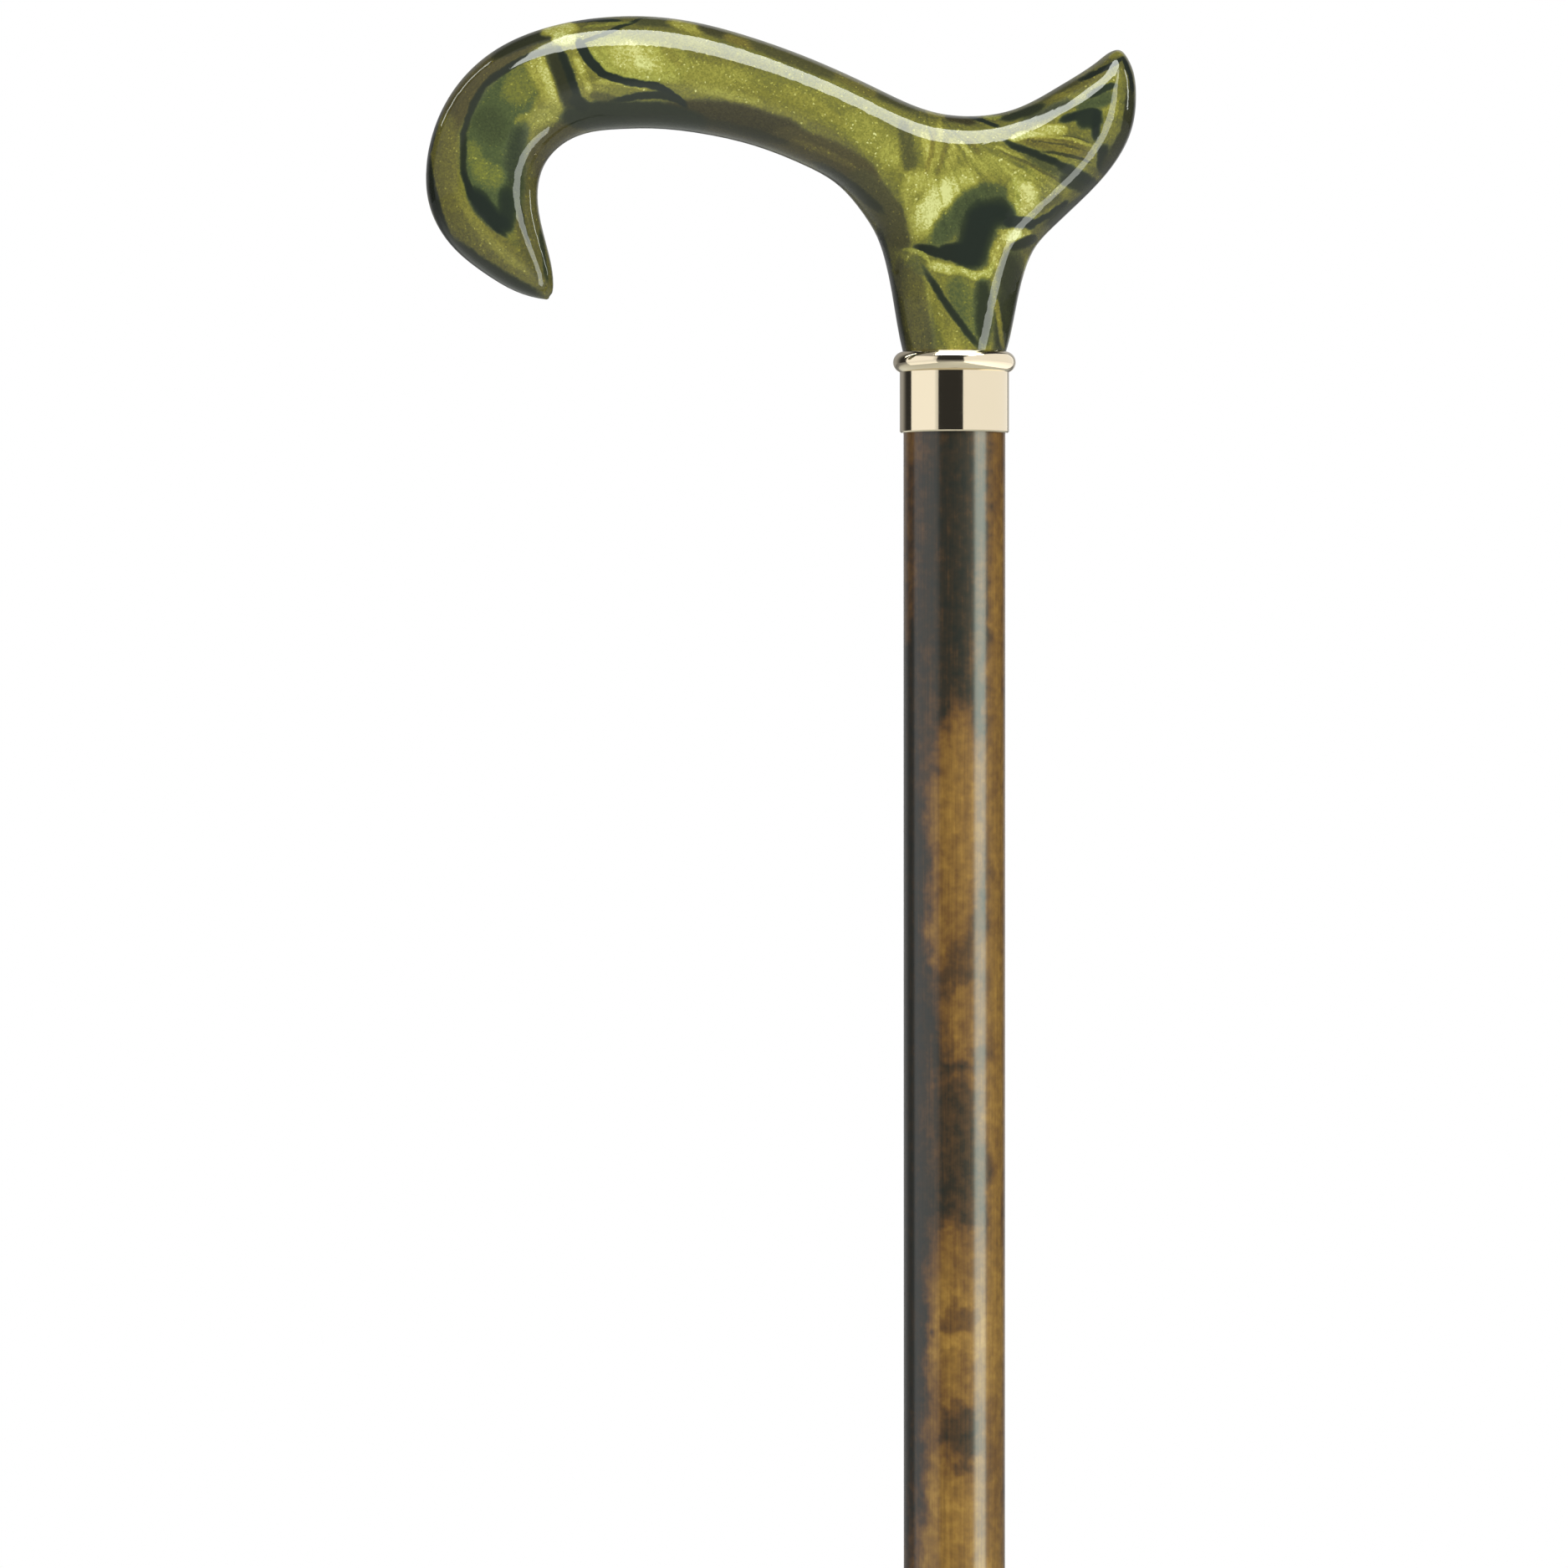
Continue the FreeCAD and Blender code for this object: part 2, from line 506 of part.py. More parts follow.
def carve_grip():
    """The grip's outer form, with the face that rests on the collar at height zero."""
    neck = number(neck_radius)
    half_width = number("Sizes.handle_width") / 2
    inner_edge = outline(HOOK_AND_NECK_SHARES, -neck)
    outer_edge = outline(NOSE_AND_TAIL_SHARES, neck)
    tail_tip = parameter_along(outer_edge, TAIL_TIP_SHARE)
    edges = [inner_edge, outer_edge.Curve.toShape(outer_edge.FirstParameter, tail_tip),
             outer_edge.Curve.toShape(tail_tip, outer_edge.LastParameter)]
    grid = []
    for inner_share, outer_share, width_share, edge_share, bow_share in even_ribs():
        inner_point = inner_edge.valueAt(parameter_along(inner_edge, inner_share))
        outer_point = outer_edge.valueAt(parameter_along(outer_edge, outer_share))
        grid.append(half_rib(inner_point, outer_point, width_share * half_width,
                             edge_share, bow_share, edges))
    surface = Part.BSplineSurface()
    surface.interpolate(grid)
    start, end = surface.bounds()[:2]
    knots = surface.getVKnots()
    surface.segment(start, end, knots[POINTS_PAST_SEAM], knots[-1 - POINTS_PAST_SEAM])
    side = surface.toShape()
    other_side = side.mirror(Vector(0, 0, 0), Vector(0, 1, 0))
    rim = [edge for face in (side, other_side) for edge in face.Edges
           if not edge.Degenerated and edge.BoundBox.ZMax < neck * 1e-3]
    neck_face = Part.Face(Part.Wire(Part.__sortEdges__(rim)))
    shell = Part.makeShell([side, other_side, neck_face])
    shell.sewShape()
    grip = Part.makeSolid(shell)
    if grip.Volume < 0:
        grip.reverse()
    return grip


grip_form = doc.addObject("Part::Feature", "grip_form")
grip_form.Shape = carve_grip()
spigot = doc.addObject("Part::Cylinder", "grip_spigot")
spigot.setExpression("Radius", spigot_radius)
spigot.setExpression("Height", "Sizes.spigot_length + Sizes.overrun")
spigot.setExpression("Placement.Base.z", "-Sizes.spigot_length")
insert_bore = doc.addObject("Part::Cylinder", "grip_insert_bore")
insert_bore.setExpression("Radius", f"{insert_radius} + Sizes.insert_clearance")
insert_bore.setExpression("Height", "Sizes.insert_length + Sizes.insert_bore_spare + Sizes.overrun")
insert_bore.setExpression("Placement.Base.z", "-Sizes.spigot_length - Sizes.overrun")
grip_with_spigot = doc.addObject("Part::Fuse", "grip_with_spigot")
grip_with_spigot.Base = grip_form
grip_with_spigot.Tool = spigot
handle = doc.addObject("Part::Cut", "handle")
handle.Label = "handle"
handle.Base = grip_with_spigot
handle.Tool = insert_bore
handle.setExpression("Placement.Base.z", collar_top)


doc.recompute()
for item in doc.Objects:
    if "Invalid" in item.State or "Error" in item.State:
        raise RuntimeError(f"{item.Label} did not build: {item.State}")

os.makedirs("parts", exist_ok=True)
for piece in (handle, insert, bolt, collar, shaft, ferrule, washer):
    form = piece.Shape
    if form.isNull() or not form.isValid() or len(form.Solids) != 1:
        raise RuntimeError(f"{piece.Label} is not one valid solid")
    form.exportStep(f"parts/{piece.Label}.step")
    box = form.BoundBox
    print(f"{piece.Label}: {form.Volume:.0f} mm3, z {box.ZMin:.2f} to {box.ZMax:.2f}, "
          f"{box.XLength:.2f} by {box.YLength:.2f}")
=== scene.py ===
import bpy
import math
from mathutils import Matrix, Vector


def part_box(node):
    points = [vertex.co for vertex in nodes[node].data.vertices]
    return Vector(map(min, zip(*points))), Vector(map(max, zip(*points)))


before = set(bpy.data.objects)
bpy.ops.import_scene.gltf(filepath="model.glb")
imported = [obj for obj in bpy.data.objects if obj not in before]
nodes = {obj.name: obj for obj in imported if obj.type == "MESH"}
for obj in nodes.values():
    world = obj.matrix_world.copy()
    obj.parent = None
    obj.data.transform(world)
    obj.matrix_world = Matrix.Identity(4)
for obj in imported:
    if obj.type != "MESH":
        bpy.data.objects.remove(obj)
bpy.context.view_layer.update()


# Grip. Cast acrylic with pearl flakes, stirred while it was liquid, so that olive pearl folds round veins
# of black-green. It is carved from one block and polished, and the clear resin over the flakes gives it a
# deep gloss.
def linear(hex_colour):
    """A colour written as sRGB, turned to the linear numbers that a shader reads."""
    channels = [int(hex_colour[i:i + 2], 16) / 255 for i in (1, 3, 5)]
    return (*[c / 12.92 if c <= 0.04045 else ((c + 0.055) / 1.055) ** 2.4 for c in channels], 1)


def add_node(tree, kind, sockets=None, **settings):
    """Adds a node with its settings. A socket takes a number, a colour or another node's output."""
    node = tree.nodes.new(kind)
    for name, value in settings.items():
        setattr(node, name, value)
    for name, value in (sockets or {}).items():
        if isinstance(value, bpy.types.NodeSocket):
            tree.links.new(value, node.inputs[name])
        else:
            node.inputs[name].default_value = value
    return node


def start_finish(piece, real_name):
    """Puts an empty material, named for the real one, on a piece, and gives its node tree."""
    material = bpy.data.materials.new(real_name)
    material.use_nodes = True
    material.node_tree.nodes.clear()
    piece.data.materials.clear()
    piece.data.materials.append(material)
    return material.node_tree


def paint_ramp(tree, tone, stops):
    """Turns a tone from 0 to 1 into colours at given stops."""
    ramp = add_node(tree, "ShaderNodeValToRGB", {"Fac": tone})
    while len(ramp.color_ramp.elements) < len(stops):
        ramp.color_ramp.elements.new(0.5)
    for element, (place, colour) in zip(ramp.color_ramp.elements, stops):
        element.position = place
        element.color = linear(colour)
    return ramp.outputs["Color"]


def make_brush():
    """A node group that paints one curved stroke with tapering ends over a tone and a warmth.

    Along and Aside give the place in half lengths and half widths of the stroke, by a dot product with
    (x, 1, z), so that the 1 carries the stroke's own place.
    """
    brush = bpy.data.node_groups.new("brush", "ShaderNodeTree")
    for name, kind in (("Place", "Vector"), ("Along", "Vector"), ("Aside", "Vector"), ("Bow", "Float"),
                       ("Outer", "Float"), ("Inner", "Float"), ("Cover", "Float"), ("Tone", "Float"),
                       ("New Tone", "Float"), ("Warmth", "Float"), ("New Warmth", "Float")):
        brush.interface.new_socket(name, in_out="INPUT", socket_type="NodeSocket" + kind)
    for name in ("Tone", "Warmth"):
        brush.interface.new_socket(name, in_out="OUTPUT", socket_type="NodeSocketFloat")
    given = add_node(brush, "NodeGroupInput").outputs
    along = add_node(brush, "ShaderNodeVectorMath", {
        0: given["Place"], 1: given["Along"]}, operation="DOT_PRODUCT").outputs["Value"]
    aside = add_node(brush, "ShaderNodeVectorMath", {
        0: given["Place"], 1: given["Aside"]}, operation="DOT_PRODUCT").outputs["Value"]
    along_squared = add_node(brush, "ShaderNodeMath", {
        0: along, 1: along}, operation="MULTIPLY").outputs["Value"]
    off_curve = add_node(brush, "ShaderNodeMath", {
        0: along_squared, 1: given["Bow"], 2: aside}, operation="MULTIPLY_ADD").outputs["Value"]
    blunt_end = add_node(brush, "ShaderNodeMath", {
        0: along_squared, 1: along_squared}, operation="MULTIPLY").outputs["Value"]
    reach = add_node(brush, "ShaderNodeMath", {
        0: off_curve, 1: off_curve, 2: blunt_end}, operation="MULTIPLY_ADD").outputs["Value"]
    cover = add_node(brush, "ShaderNodeMapRange", {
        "Value": reach, "From Min": given["Outer"], "From Max": given["Inner"], "To Max": given["Cover"]},
        interpolation_type="SMOOTHSTEP", clamp=False).outputs["Result"]
    ends = {}
    for name in ("Tone", "Warmth"):
        ends[name] = add_node(brush, "ShaderNodeMix", {
            0: cover, 2: given[name], 3: given["New " + name]}, data_type="FLOAT").outputs[0]
    add_node(brush, "NodeGroupOutput", ends)
    return brush


def paint(tree, flat_place, marks, tone, warmth):
    """Paints marks, as in the table below, over a tone and a warmth at a place (x, 1, z) in millimetres."""
    brush = make_brush()
    for x0, z0, x1, z1, half_width, bow, softness, cover, new_tone, new_warmth in marks:
        half_length = math.hypot(x1 - x0, z1 - z0) / 2
        across, up = (x1 - x0) / (2 * half_length), (z1 - z0) / (2 * half_length)
        x, z = (x0 + x1) / 2 - up * bow, (z0 + z1) / 2 + across * bow
        stroke = add_node(tree, "ShaderNodeGroup", {
            "Place": flat_place, "Bow": bow / half_width, "Cover": cover,
            "Outer": 1 + softness, "Inner": 1 - softness,
            "Along": (across / half_length, -(x * across + z * up) / half_length, up / half_length),
            "Aside": (-up / half_width, (x * up - z * across) / half_width, across / half_width),
            "Tone": tone, "New Tone": new_tone, "Warmth": warmth, "New Warmth": new_warmth}, node_tree=brush)
        tone, warmth = stroke.outputs["Tone"], stroke.outputs["Warmth"]
    return tone, warmth


# The swirls, and painted shade under the grip, down its left side and along its edges, painted one over
# another. Each starts and ends at places across from the shaft's axis and up from the collar, then has half
# its width, out to where it covers half, and how far it bows to its left, all in millimetres. The rest are
# the softness of its edge, how well it covers, its tone from black-green to bright pearl, and its warmth from
# green to brown.
SWIRLS_AND_SHADE = [
    # Palm rest: golden olive pearl, brighter in places.
    (-49.5, 51.5, -38.0, 48.6, 2.8, 0.0, 1.0, 0.9, 0.68, 0.36),
    (-43.0, 47.4, -27.0, 43.2, 2.8, 0.0, 1.0, 0.8, 0.60, 0.46),
    (-20.5, 43.0, -10.0, 35.0, 2.8, 0.0, 1.0, 0.9, 0.68, 0.26),
    (-13.5, 36.8, -10.5, 34.4, 1.6, 0.0, 1.0, 0.7, 0.76, 0.24),
    (-48.5, 48.3, -36.0, 45.3, 0.8, 0.3, 1.0, 0.8, 0.74, 0.30),
    (-50.0, 54.6, -34.0, 51.6, 1.2, 0.4, 1.0, 0.6, 0.50, 0.55),
    (-32.0, 48.4, -20.0, 41.2, 1.0, 0.3, 1.0, 0.6, 0.70, 0.45),
    (-27.0, 42.0, -17.0, 34.8, 1.1, 0.3, 1.0, 0.6, 0.48, 0.60),
    # Brown band under the palm rest and down the left of the neck: painted shade where the grip turns down
    # and left.
    (-55.0, 44.0, -27.0, 38.2, 3.1, 1.2, 0.40, 1.0, 0.28, 0.80),
    (-34.0, 39.8, -14.0, 30.2, 2.7, 1.0, 0.40, 1.0, 0.37, 0.82),
    (-19.5, 33.0, -9.2, 18.5, 2.6, 1.2, 0.40, 1.0, 0.37, 0.66),
    (-10.2, 16.8, -8.9, -3.0, 1.2, 0.0, 0.60, 1.0, 0.34, 0.65),
    (-14.0, 22.0, -9.9, -2.0, 1.0, 0.3, 0.80, 1.0, 0.04, 0.30),
    (-8.6, 16.0, -5.7, -3.0, 2.2, 0.0, 0.40, 1.0, 0.45, 0.60),
    (-47.0, 42.3, -31.0, 38.2, 0.7, 0.5, 0.80, 0.9, 0.20, 0.60),
    (-30.0, 38.9, -18.5, 33.4, 0.7, 0.4, 0.90, 0.9, 0.48, 0.80),
    (-26.0, 34.6, -13.5, 25.5, 0.8, 0.6, 0.90, 0.9, 0.14, 0.40),
    # Outer side of the hook: a brown band of painted shade, with dark olive over it and a dark edge of
    # painted shade.
    (-78.0, 58.2, -95.2, 39.0, 3.2, -3.2, 0.45, 1.0, 0.40, 0.80),
    (-94.6, 44.0, -90.5, 18.0, 3.3, -2.6, 0.40, 1.0, 0.52, 0.60),
    (-93.5, 24.5, -74.5, 11.3, 3.6, -1.2, 0.45, 1.0, 0.50, 0.60),
    (-92.6, 30.0, -79.5, 14.6, 0.9, -1.4, 0.90, 0.9, 0.62, 0.50),
    (-86.0, 54.6, -74.0, 58.9, 1.3, 0.6, 0.80, 1.0, 0.16, 0.50),
    (-91.6, 53.8, -97.9, 36.0, 0.8, -1.2, 0.70, 1.0, 0.04, 0.30),
    (-98.2, 40.0, -92.4, 17.4, 0.9, -1.6, 0.70, 1.0, 0.03, 0.30),
    (-93.6, 20.6, -77.4, 10.2, 1.2, -0.9, 0.80, 1.0, 0.08, 0.30),
    # Inner side of the hook: a brown rim with a dark line, painted shade along its edge.
    (-69.0, 42.6, -79.3, 31.0, 2.0, -1.9, 0.50, 1.0, 0.36, 0.75),
    (-79.6, 35.5, -75.6, 11.5, 2.3, -1.7, 0.50, 1.0, 0.44, 0.62),
    (-81.0, 33.0, -78.8, 19.5, 0.45, -0.9, 0.70, 0.9, 0.16, 0.40),
    (-76.9, 22.5, -75.8, 13.0, 0.4, 0.0, 0.90, 0.9, 0.16, 0.20),
    # Green pearl inside the hook, from bright at its upper right to dark at its foot.
    (-79.5, 52.0, -84.2, 24.0, 5.4, -3.6, 0.35, 1.0, 0.38, 0.03),
    (-83.5, 49.6, -78.0, 47.5, 3.2, 0.0, 1.0, 0.9, 0.54, 0.20),
    (-78.6, 54.6, -72.8, 44.6, 2.5, 0.4, 0.60, 1.0, 0.74, 0.38),
    (-76.8, 53.0, -74.0, 46.2, 1.1, 0.3, 1.0, 0.9, 0.90, 0.38),
    (-73.0, 44.8, -81.2, 41.8, 1.5, 0.5, 1.0, 1.0, 0.68, 0.28),
    (-79.9, 42.0, -81.4, 28.0, 1.8, -0.9, 1.0, 0.8, 0.18, 0.08),
    (-88.0, 44.5, -84.0, 38.5, 2.8, 0.0, 1.0, 0.8, 0.28, 0.10),
    (-90.0, 38.5, -87.4, 31.5, 1.5, 0.0, 1.0, 0.9, 0.53, 0.03),
    (-88.8, 33.8, -83.8, 30.8, 2.1, 0.0, 1.0, 0.8, 0.54, 0.02),
    (-83.2, 29.8, -83.2, 21.6, 1.4, 0.2, 1.0, 1.0, 0.06, 0.0),
    # Dark line round the green pearl, down to a wedge.
    (-75.0, 55.6, -88.0, 48.4, 0.7, -0.9, 0.90, 1.0, 0.05, 0.30),
    (-86.4, 50.0, -91.1, 39.5, 0.6, -0.8, 1.0, 0.9, 0.05, 0.20),
    (-90.9, 41.5, -90.8, 31.0, 0.6, -0.4, 1.0, 0.9, 0.05, 0.20),
    (-91.3, 33.2, -83.4, 20.9, 0.7, -1.0, 0.70, 1.0, 0.0, 0.10),
    (-89.6, 29.6, -82.8, 22.2, 1.7, -0.6, 0.80, 1.0, 0.0, 0.0),
    # Top of the hook: bright pearl, with dark lines along the edge and across.
    (-77.0, 59.3, -70.0, 60.0, 1.3, 0.3, 0.90, 1.0, 0.86, 0.42),
    (-74.8, 58.4, -69.2, 56.9, 1.3, 0.0, 0.90, 1.0, 0.92, 0.20),
    (-71.2, 61.2, -62.0, 61.2, 0.45, 0.3, 0.60, 1.0, 0.03, 0.20),
    (-70.2, 56.2, -58.0, 61.8, 0.4, 0.0, 0.60, 1.0, 0.05, 0.20),
    (-69.0, 59.9, -60.0, 60.9, 0.35, 0.0, 0.90, 0.8, 0.62, 0.20),
    (-59.0, 61.0, -51.8, 60.6, 0.9, 0.1, 0.80, 1.0, 0.34, 0.50),
    (-53.4, 61.1, -46.6, 58.8, 0.9, 0.2, 1.0, 1.0, 0.74, 0.50),
    (-47.6, 60.2, -42.2, 58.3, 1.0, 0.0, 1.0, 1.0, 0.30, 0.66),
    (-43.0, 58.2, -36.6, 56.2, 0.9, 0.0, 0.80, 1.0, 0.56, 0.80),
    (-38.0, 57.3, -22.0, 50.8, 1.4, 0.0, 0.70, 1.0, 0.38, 0.62),
    (-22.5, 51.3, -14.0, 47.0, 1.0, 0.0, 0.80, 1.0, 0.50, 0.65),
    (-14.5, 47.6, -7.0, 44.8, 1.0, 0.0, 0.80, 1.0, 0.32, 0.60),
    (-5.5, 44.4, -1.5, 43.4, 0.8, 0.0, 0.90, 1.0, 0.60, 0.60),
    (-1.8, 43.4, 3.8, 42.2, 0.9, 0.0, 0.80, 1.0, 0.26, 0.75),
    # Veins that part the hook from the palm rest.
    (-75.2, 56.0, -71.0, 44.0, 1.5, 0.3, 0.90, 1.0, 0.18, 0.50),
    (-70.8, 56.5, -67.0, 46.0, 1.8, 0.3, 0.80, 1.0, 0.60, 0.45),
    (-73.6, 56.0, -69.4, 44.8, 0.75, 0.2, 0.80, 1.0, 0.0, 0.20),
    (-70.6, 54.0, -67.4, 47.6, 0.7, 0.2, 1.0, 0.9, 0.86, 0.38),
    (-68.6, 50.6, -56.5, 48.3, 1.5, 1.0, 0.70, 1.0, 0.56, 0.45),
    (-66.5, 49.4, -57.0, 48.0, 0.5, 0.6, 0.90, 0.9, 0.76, 0.30),
    # Bright pearl on the palm rest, above the dark curl.
    (-68.0, 55.6, -49.5, 51.6, 3.3, 0.6, 0.70, 1.0, 0.72, 0.22),
    (-67.0, 54.8, -61.5, 51.6, 1.4, -0.3, 1.0, 0.9, 0.72, 0.08),
    (-63.6, 55.4, -54.4, 51.4, 2.7, 0.2, 1.0, 0.9, 0.86, 0.32),
    (-60.6, 57.0, -58.6, 53.2, 0.9, 0.2, 1.0, 0.8, 0.94, 0.48),
    (-59.2, 53.6, -56.0, 52.2, 1.1, 0.0, 1.0, 0.9, 0.98, 0.22),
    (-54.0, 56.0, -50.6, 52.2, 1.0, 0.0, 1.0, 0.7, 0.58, 0.55),
    (-61.0, 51.0, -51.0, 49.7, 0.9, 0.2, 1.0, 0.9, 0.76, 0.12),
    (-70.0, 57.6, -64.2, 50.4, 0.95, -0.7, 0.45, 1.0, 0.0, 0.10),
    (-66.4, 51.6, -56.0, 48.9, 0.72, -0.5, 0.50, 1.0, 0.0, 0.10),
    (-58.0, 49.2, -49.6, 45.0, 0.7, 0.6, 0.50, 1.0, 0.0, 0.15),
    (-67.6, 55.6, -64.4, 52.4, 0.45, -0.3, 1.0, 0.7, 0.76, 0.0),
    (-64.8, 52.2, -54.0, 49.6, 0.5, -0.5, 1.0, 0.7, 0.76, 0.0),
    # Dark underside between the hook and the palm rest: painted shade under the grip.
    (-67.5, 47.0, -62.0, 45.8, 0.9, 0.0, 0.90, 0.8, 0.36, 0.60),
    (-63.5, 46.0, -50.0, 45.9, 0.65, 1.0, 0.60, 1.0, 0.04, 0.20),
    (-73.0, 43.0, -46.0, 42.2, 2.4, 0.9, 0.40, 1.0, 0.12, 0.25),
    (-71.2, 46.8, -68.0, 44.4, 1.2, 0.0, 0.70, 1.0, 0.06, 0.30),
    # Streaks over the neck, and the bright ridge under them.
    (-9.8, 42.5, -8.0, 32.5, 1.3, 0.0, 1.0, 1.0, 0.40, 0.55),
    (-6.0, 40.4, -4.4, 33.0, 1.0, 0.3, 1.0, 1.0, 0.80, 0.42),
    (-4.0, 41.0, -5.8, 32.0, 0.5, 0.5, 1.0, 0.8, 0.58, 0.75),
    (-2.8, 42.5, -4.0, 33.5, 0.6, 0.4, 1.0, 0.8, 0.76, 0.45),
    (-1.6, 39.0, -3.6, 32.0, 0.4, 0.4, 1.0, 0.7, 0.50, 0.70),
    (-0.4, 39.0, -1.2, 33.0, 0.8, 0.2, 1.0, 0.9, 0.76, 0.40),
    (0.8, 38.6, 3.2, 34.0, 0.6, 0.3, 1.0, 0.8, 0.82, 0.30),
    (2.2, 39.0, 4.8, 35.2, 0.5, 0.2, 1.0, 0.9, 0.50, 0.65),
    (-9.8, 30.6, -3.0, 30.0, 2.2, 0.6, 1.0, 0.9, 0.80, 0.30),
    (-9.4, 30.4, -7.6, 23.6, 1.3, 0.0, 1.0, 0.9, 0.72, 0.30),
    (-7.6, 21.0, 3.2, 32.8, 2.8, 0.7, 1.0, 1.0, 0.84, 0.24),
    (3.0, 34.4, 11.0, 33.2, 1.7, 0.4, 1.0, 0.9, 0.70, 0.25),
    (-6.6, 23.8, 0.4, 30.2, 2.0, 0.6, 1.0, 0.9, 0.98, 0.22),
    # Bright pearl at the right of the fold.
    (13.2, 33.4, 13.0, 23.6, 2.9, -0.5, 0.45, 1.0, 0.68, 0.20),
    (13.8, 30.8, 12.8, 25.0, 1.6, -0.3, 1.0, 1.0, 0.90, 0.42),
    (10.9, 31.5, 11.4, 25.2, 0.5, 0.4, 1.0, 1.0, 0.76, 0.02),
    (14.8, 31.0, 18.6, 28.2, 1.2, 0.0, 1.0, 0.9, 0.62, 0.35),
    # The large dark fold, green where the pearl thins out over it.
    (-4.6, 19.0, 5.8, 29.6, 2.3, 0.5, 1.0, 1.0, 0.32, 0.10),
    (4.0, 29.2, 9.8, 28.6, 1.5, 0.3, 1.0, 0.8, 0.32, 0.12),
    (-7.6, 18.9, 4.4, 15.9, 0.95, 0.0, 0.60, 1.0, 0.0, 0.30),
    (-3.4, 17.8, 4.0, 18.0, 1.4, 0.3, 0.60, 1.0, 0.0, 0.20),
    (2.1, 14.9, 5.2, 25.6, 3.0, 0.0, 0.80, 1.0, 0.0, 0.10),
    (2.4, 24.0, 11.0, 25.1, 2.5, 0.6, 1.0, 1.0, 0.0, 0.05),
    (8.8, 23.7, 15.0, 23.3, 1.1, 0.0, 0.50, 1.0, 0.0, 0.10),
    (13.6, 23.0, 21.0, 27.6, 0.5, -0.4, 0.60, 1.0, 0.02, 0.20),
    (7.6, 15.0, 9.6, 20.6, 1.6, 0.3, 0.90, 1.0, 0.78, 0.48),
    (8.4, 20.7, 14.2, 20.9, 1.4, 0.3, 0.80, 1.0, 0.78, 0.42),
    (9.4, 20.9, 12.4, 21.0, 1.1, 0.1, 1.0, 1.0, 1.0, 0.12),
    # Pale fringe under the fold.
    (-5.4, 15.6, 2.4, 14.2, 0.9, 0.0, 0.90, 1.0, 0.86, 0.24),
    (1.4, 14.6, 7.2, 15.8, 0.95, -1.9, 0.90, 1.0, 0.80, 0.10),
    (-8.2, 17.0, -5.4, 14.0, 1.4, 0.0, 0.90, 0.9, 0.46, 0.35),
    (-9.8, 18.5, -5.0, 16.2, 0.4, 0.7, 0.90, 1.0, 0.74, 0.15),
    # Down the neck.
    (-0.2, 13.4, 4.4, 2.0, 2.6, 0.0, 0.80, 1.0, 0.46, 0.15),
    (5.0, 13.0, 5.4, 1.0, 1.5, 0.0, 1.0, 1.0, 0.14, 0.20),
    (-4.0, 11.5, 0.8, -1.5, 1.7, 0.0, 0.80, 1.0, 0.64, 0.45),
    (-5.6, 14.6, 4.4, 0.4, 0.65, -0.4, 1.0, 1.0, 0.06, 0.20),
    (10.6, 18.6, 9.1, -1.5, 2.3, 0.0, 0.80, 1.0, 0.20, 0.40),
    (7.6, 9.0, 9.2, 0.0, 0.5, 0.0, 0.90, 1.0, 0.60, 0.60),
    (13.6, 17.5, 10.4, 2.0, 0.8, 0.9, 0.70, 1.0, 0.66, 0.40),
    (10.2, 18.6, 15.2, 21.0, 0.9, 0.0, 0.70, 1.0, 0.08, 0.40),
    # Tail: dark streaks between golden ones.
    (10.0, 40.8, 25.0, 39.4, 1.8, 0.8, 0.90, 1.0, 0.52, 0.45),
    (12.0, 39.0, 25.0, 36.0, 1.6, 0.4, 0.90, 1.0, 0.50, 0.72),
    (14.0, 39.4, 25.0, 38.2, 0.16, 0.5, 0.80, 0.7, 0.30, 0.60),
    (13.5, 38.5, 24.0, 36.6, 0.18, 0.3, 0.80, 0.7, 0.30, 0.60),
    (17.5, 39.2, 25.0, 37.6, 0.3, 0.3, 0.90, 0.9, 0.78, 0.40),
    (16.0, 36.4, 25.0, 34.6, 0.3, 0.3, 0.80, 0.8, 0.18, 0.50),
    (10.2, 38.9, 14.8, 39.9, 0.7, 0.0, 0.90, 1.0, 0.94, 0.15),
    (13.6, 40.0, 20.4, 40.4, 1.2, 0.2, 1.0, 1.0, 0.90, 0.36),
    (8.6, 36.6, 20.5, 30.4, 0.3, 0.2, 0.90, 0.8, 0.40, 0.60),
    (7.6, 35.4, 17.5, 29.2, 0.35, 0.2, 0.90, 0.8, 0.80, 0.30),
    (7.0, 37.6, 15.0, 34.2, 0.3, 0.2, 0.90, 0.8, 0.76, 0.30),
    (12.4, 36.0, 20.4, 32.0, 0.7, 0.0, 1.0, 0.7, 0.28, 0.40),
    (19.4, 31.8, 24.6, 30.2, 1.1, 0.0, 1.0, 1.0, 0.10, 0.30),
    (9.0, 38.6, 21.4, 33.4, 0.6, -0.2, 0.90, 1.0, 0.02, 0.20),
    (18.8, 34.0, 26.5, 30.4, 0.95, 0.3, 0.90, 1.0, 0.04, 0.20),
    (12.5, 42.5, 22.0, 46.0, 1.0, -0.3, 1.0, 0.9, 0.24, 0.30),
    (22.5, 44.4, 29.4, 46.8, 1.3, 0.0, 1.0, 1.0, 0.34, 0.10),
    (19.4, 42.2, 27.0, 43.8, 0.9, 0.2, 0.80, 1.0, 0.0, 0.05),
    (22.4, 42.2, 27.2, 42.6, 1.6, 0.0, 0.90, 1.0, 0.04, 0.05),
    (26.2, 44.2, 25.8, 38.8, 0.8, 0.0, 0.90, 1.0, 0.0, 0.05),
    (24.4, 46.9, 29.8, 48.9, 0.7, 0.0, 0.70, 1.0, 0.10, 0.05),
    (27.4, 38.0, 27.6, 33.0, 1.1, 0.0, 0.80, 1.0, 0.04, 0.30),
    # Rim of the tail, with painted shade in the dark lines along its edge.
    (2.4, 43.6, 8.2, 41.4, 0.4, 0.0, 0.60, 1.0, 0.02, 0.20),
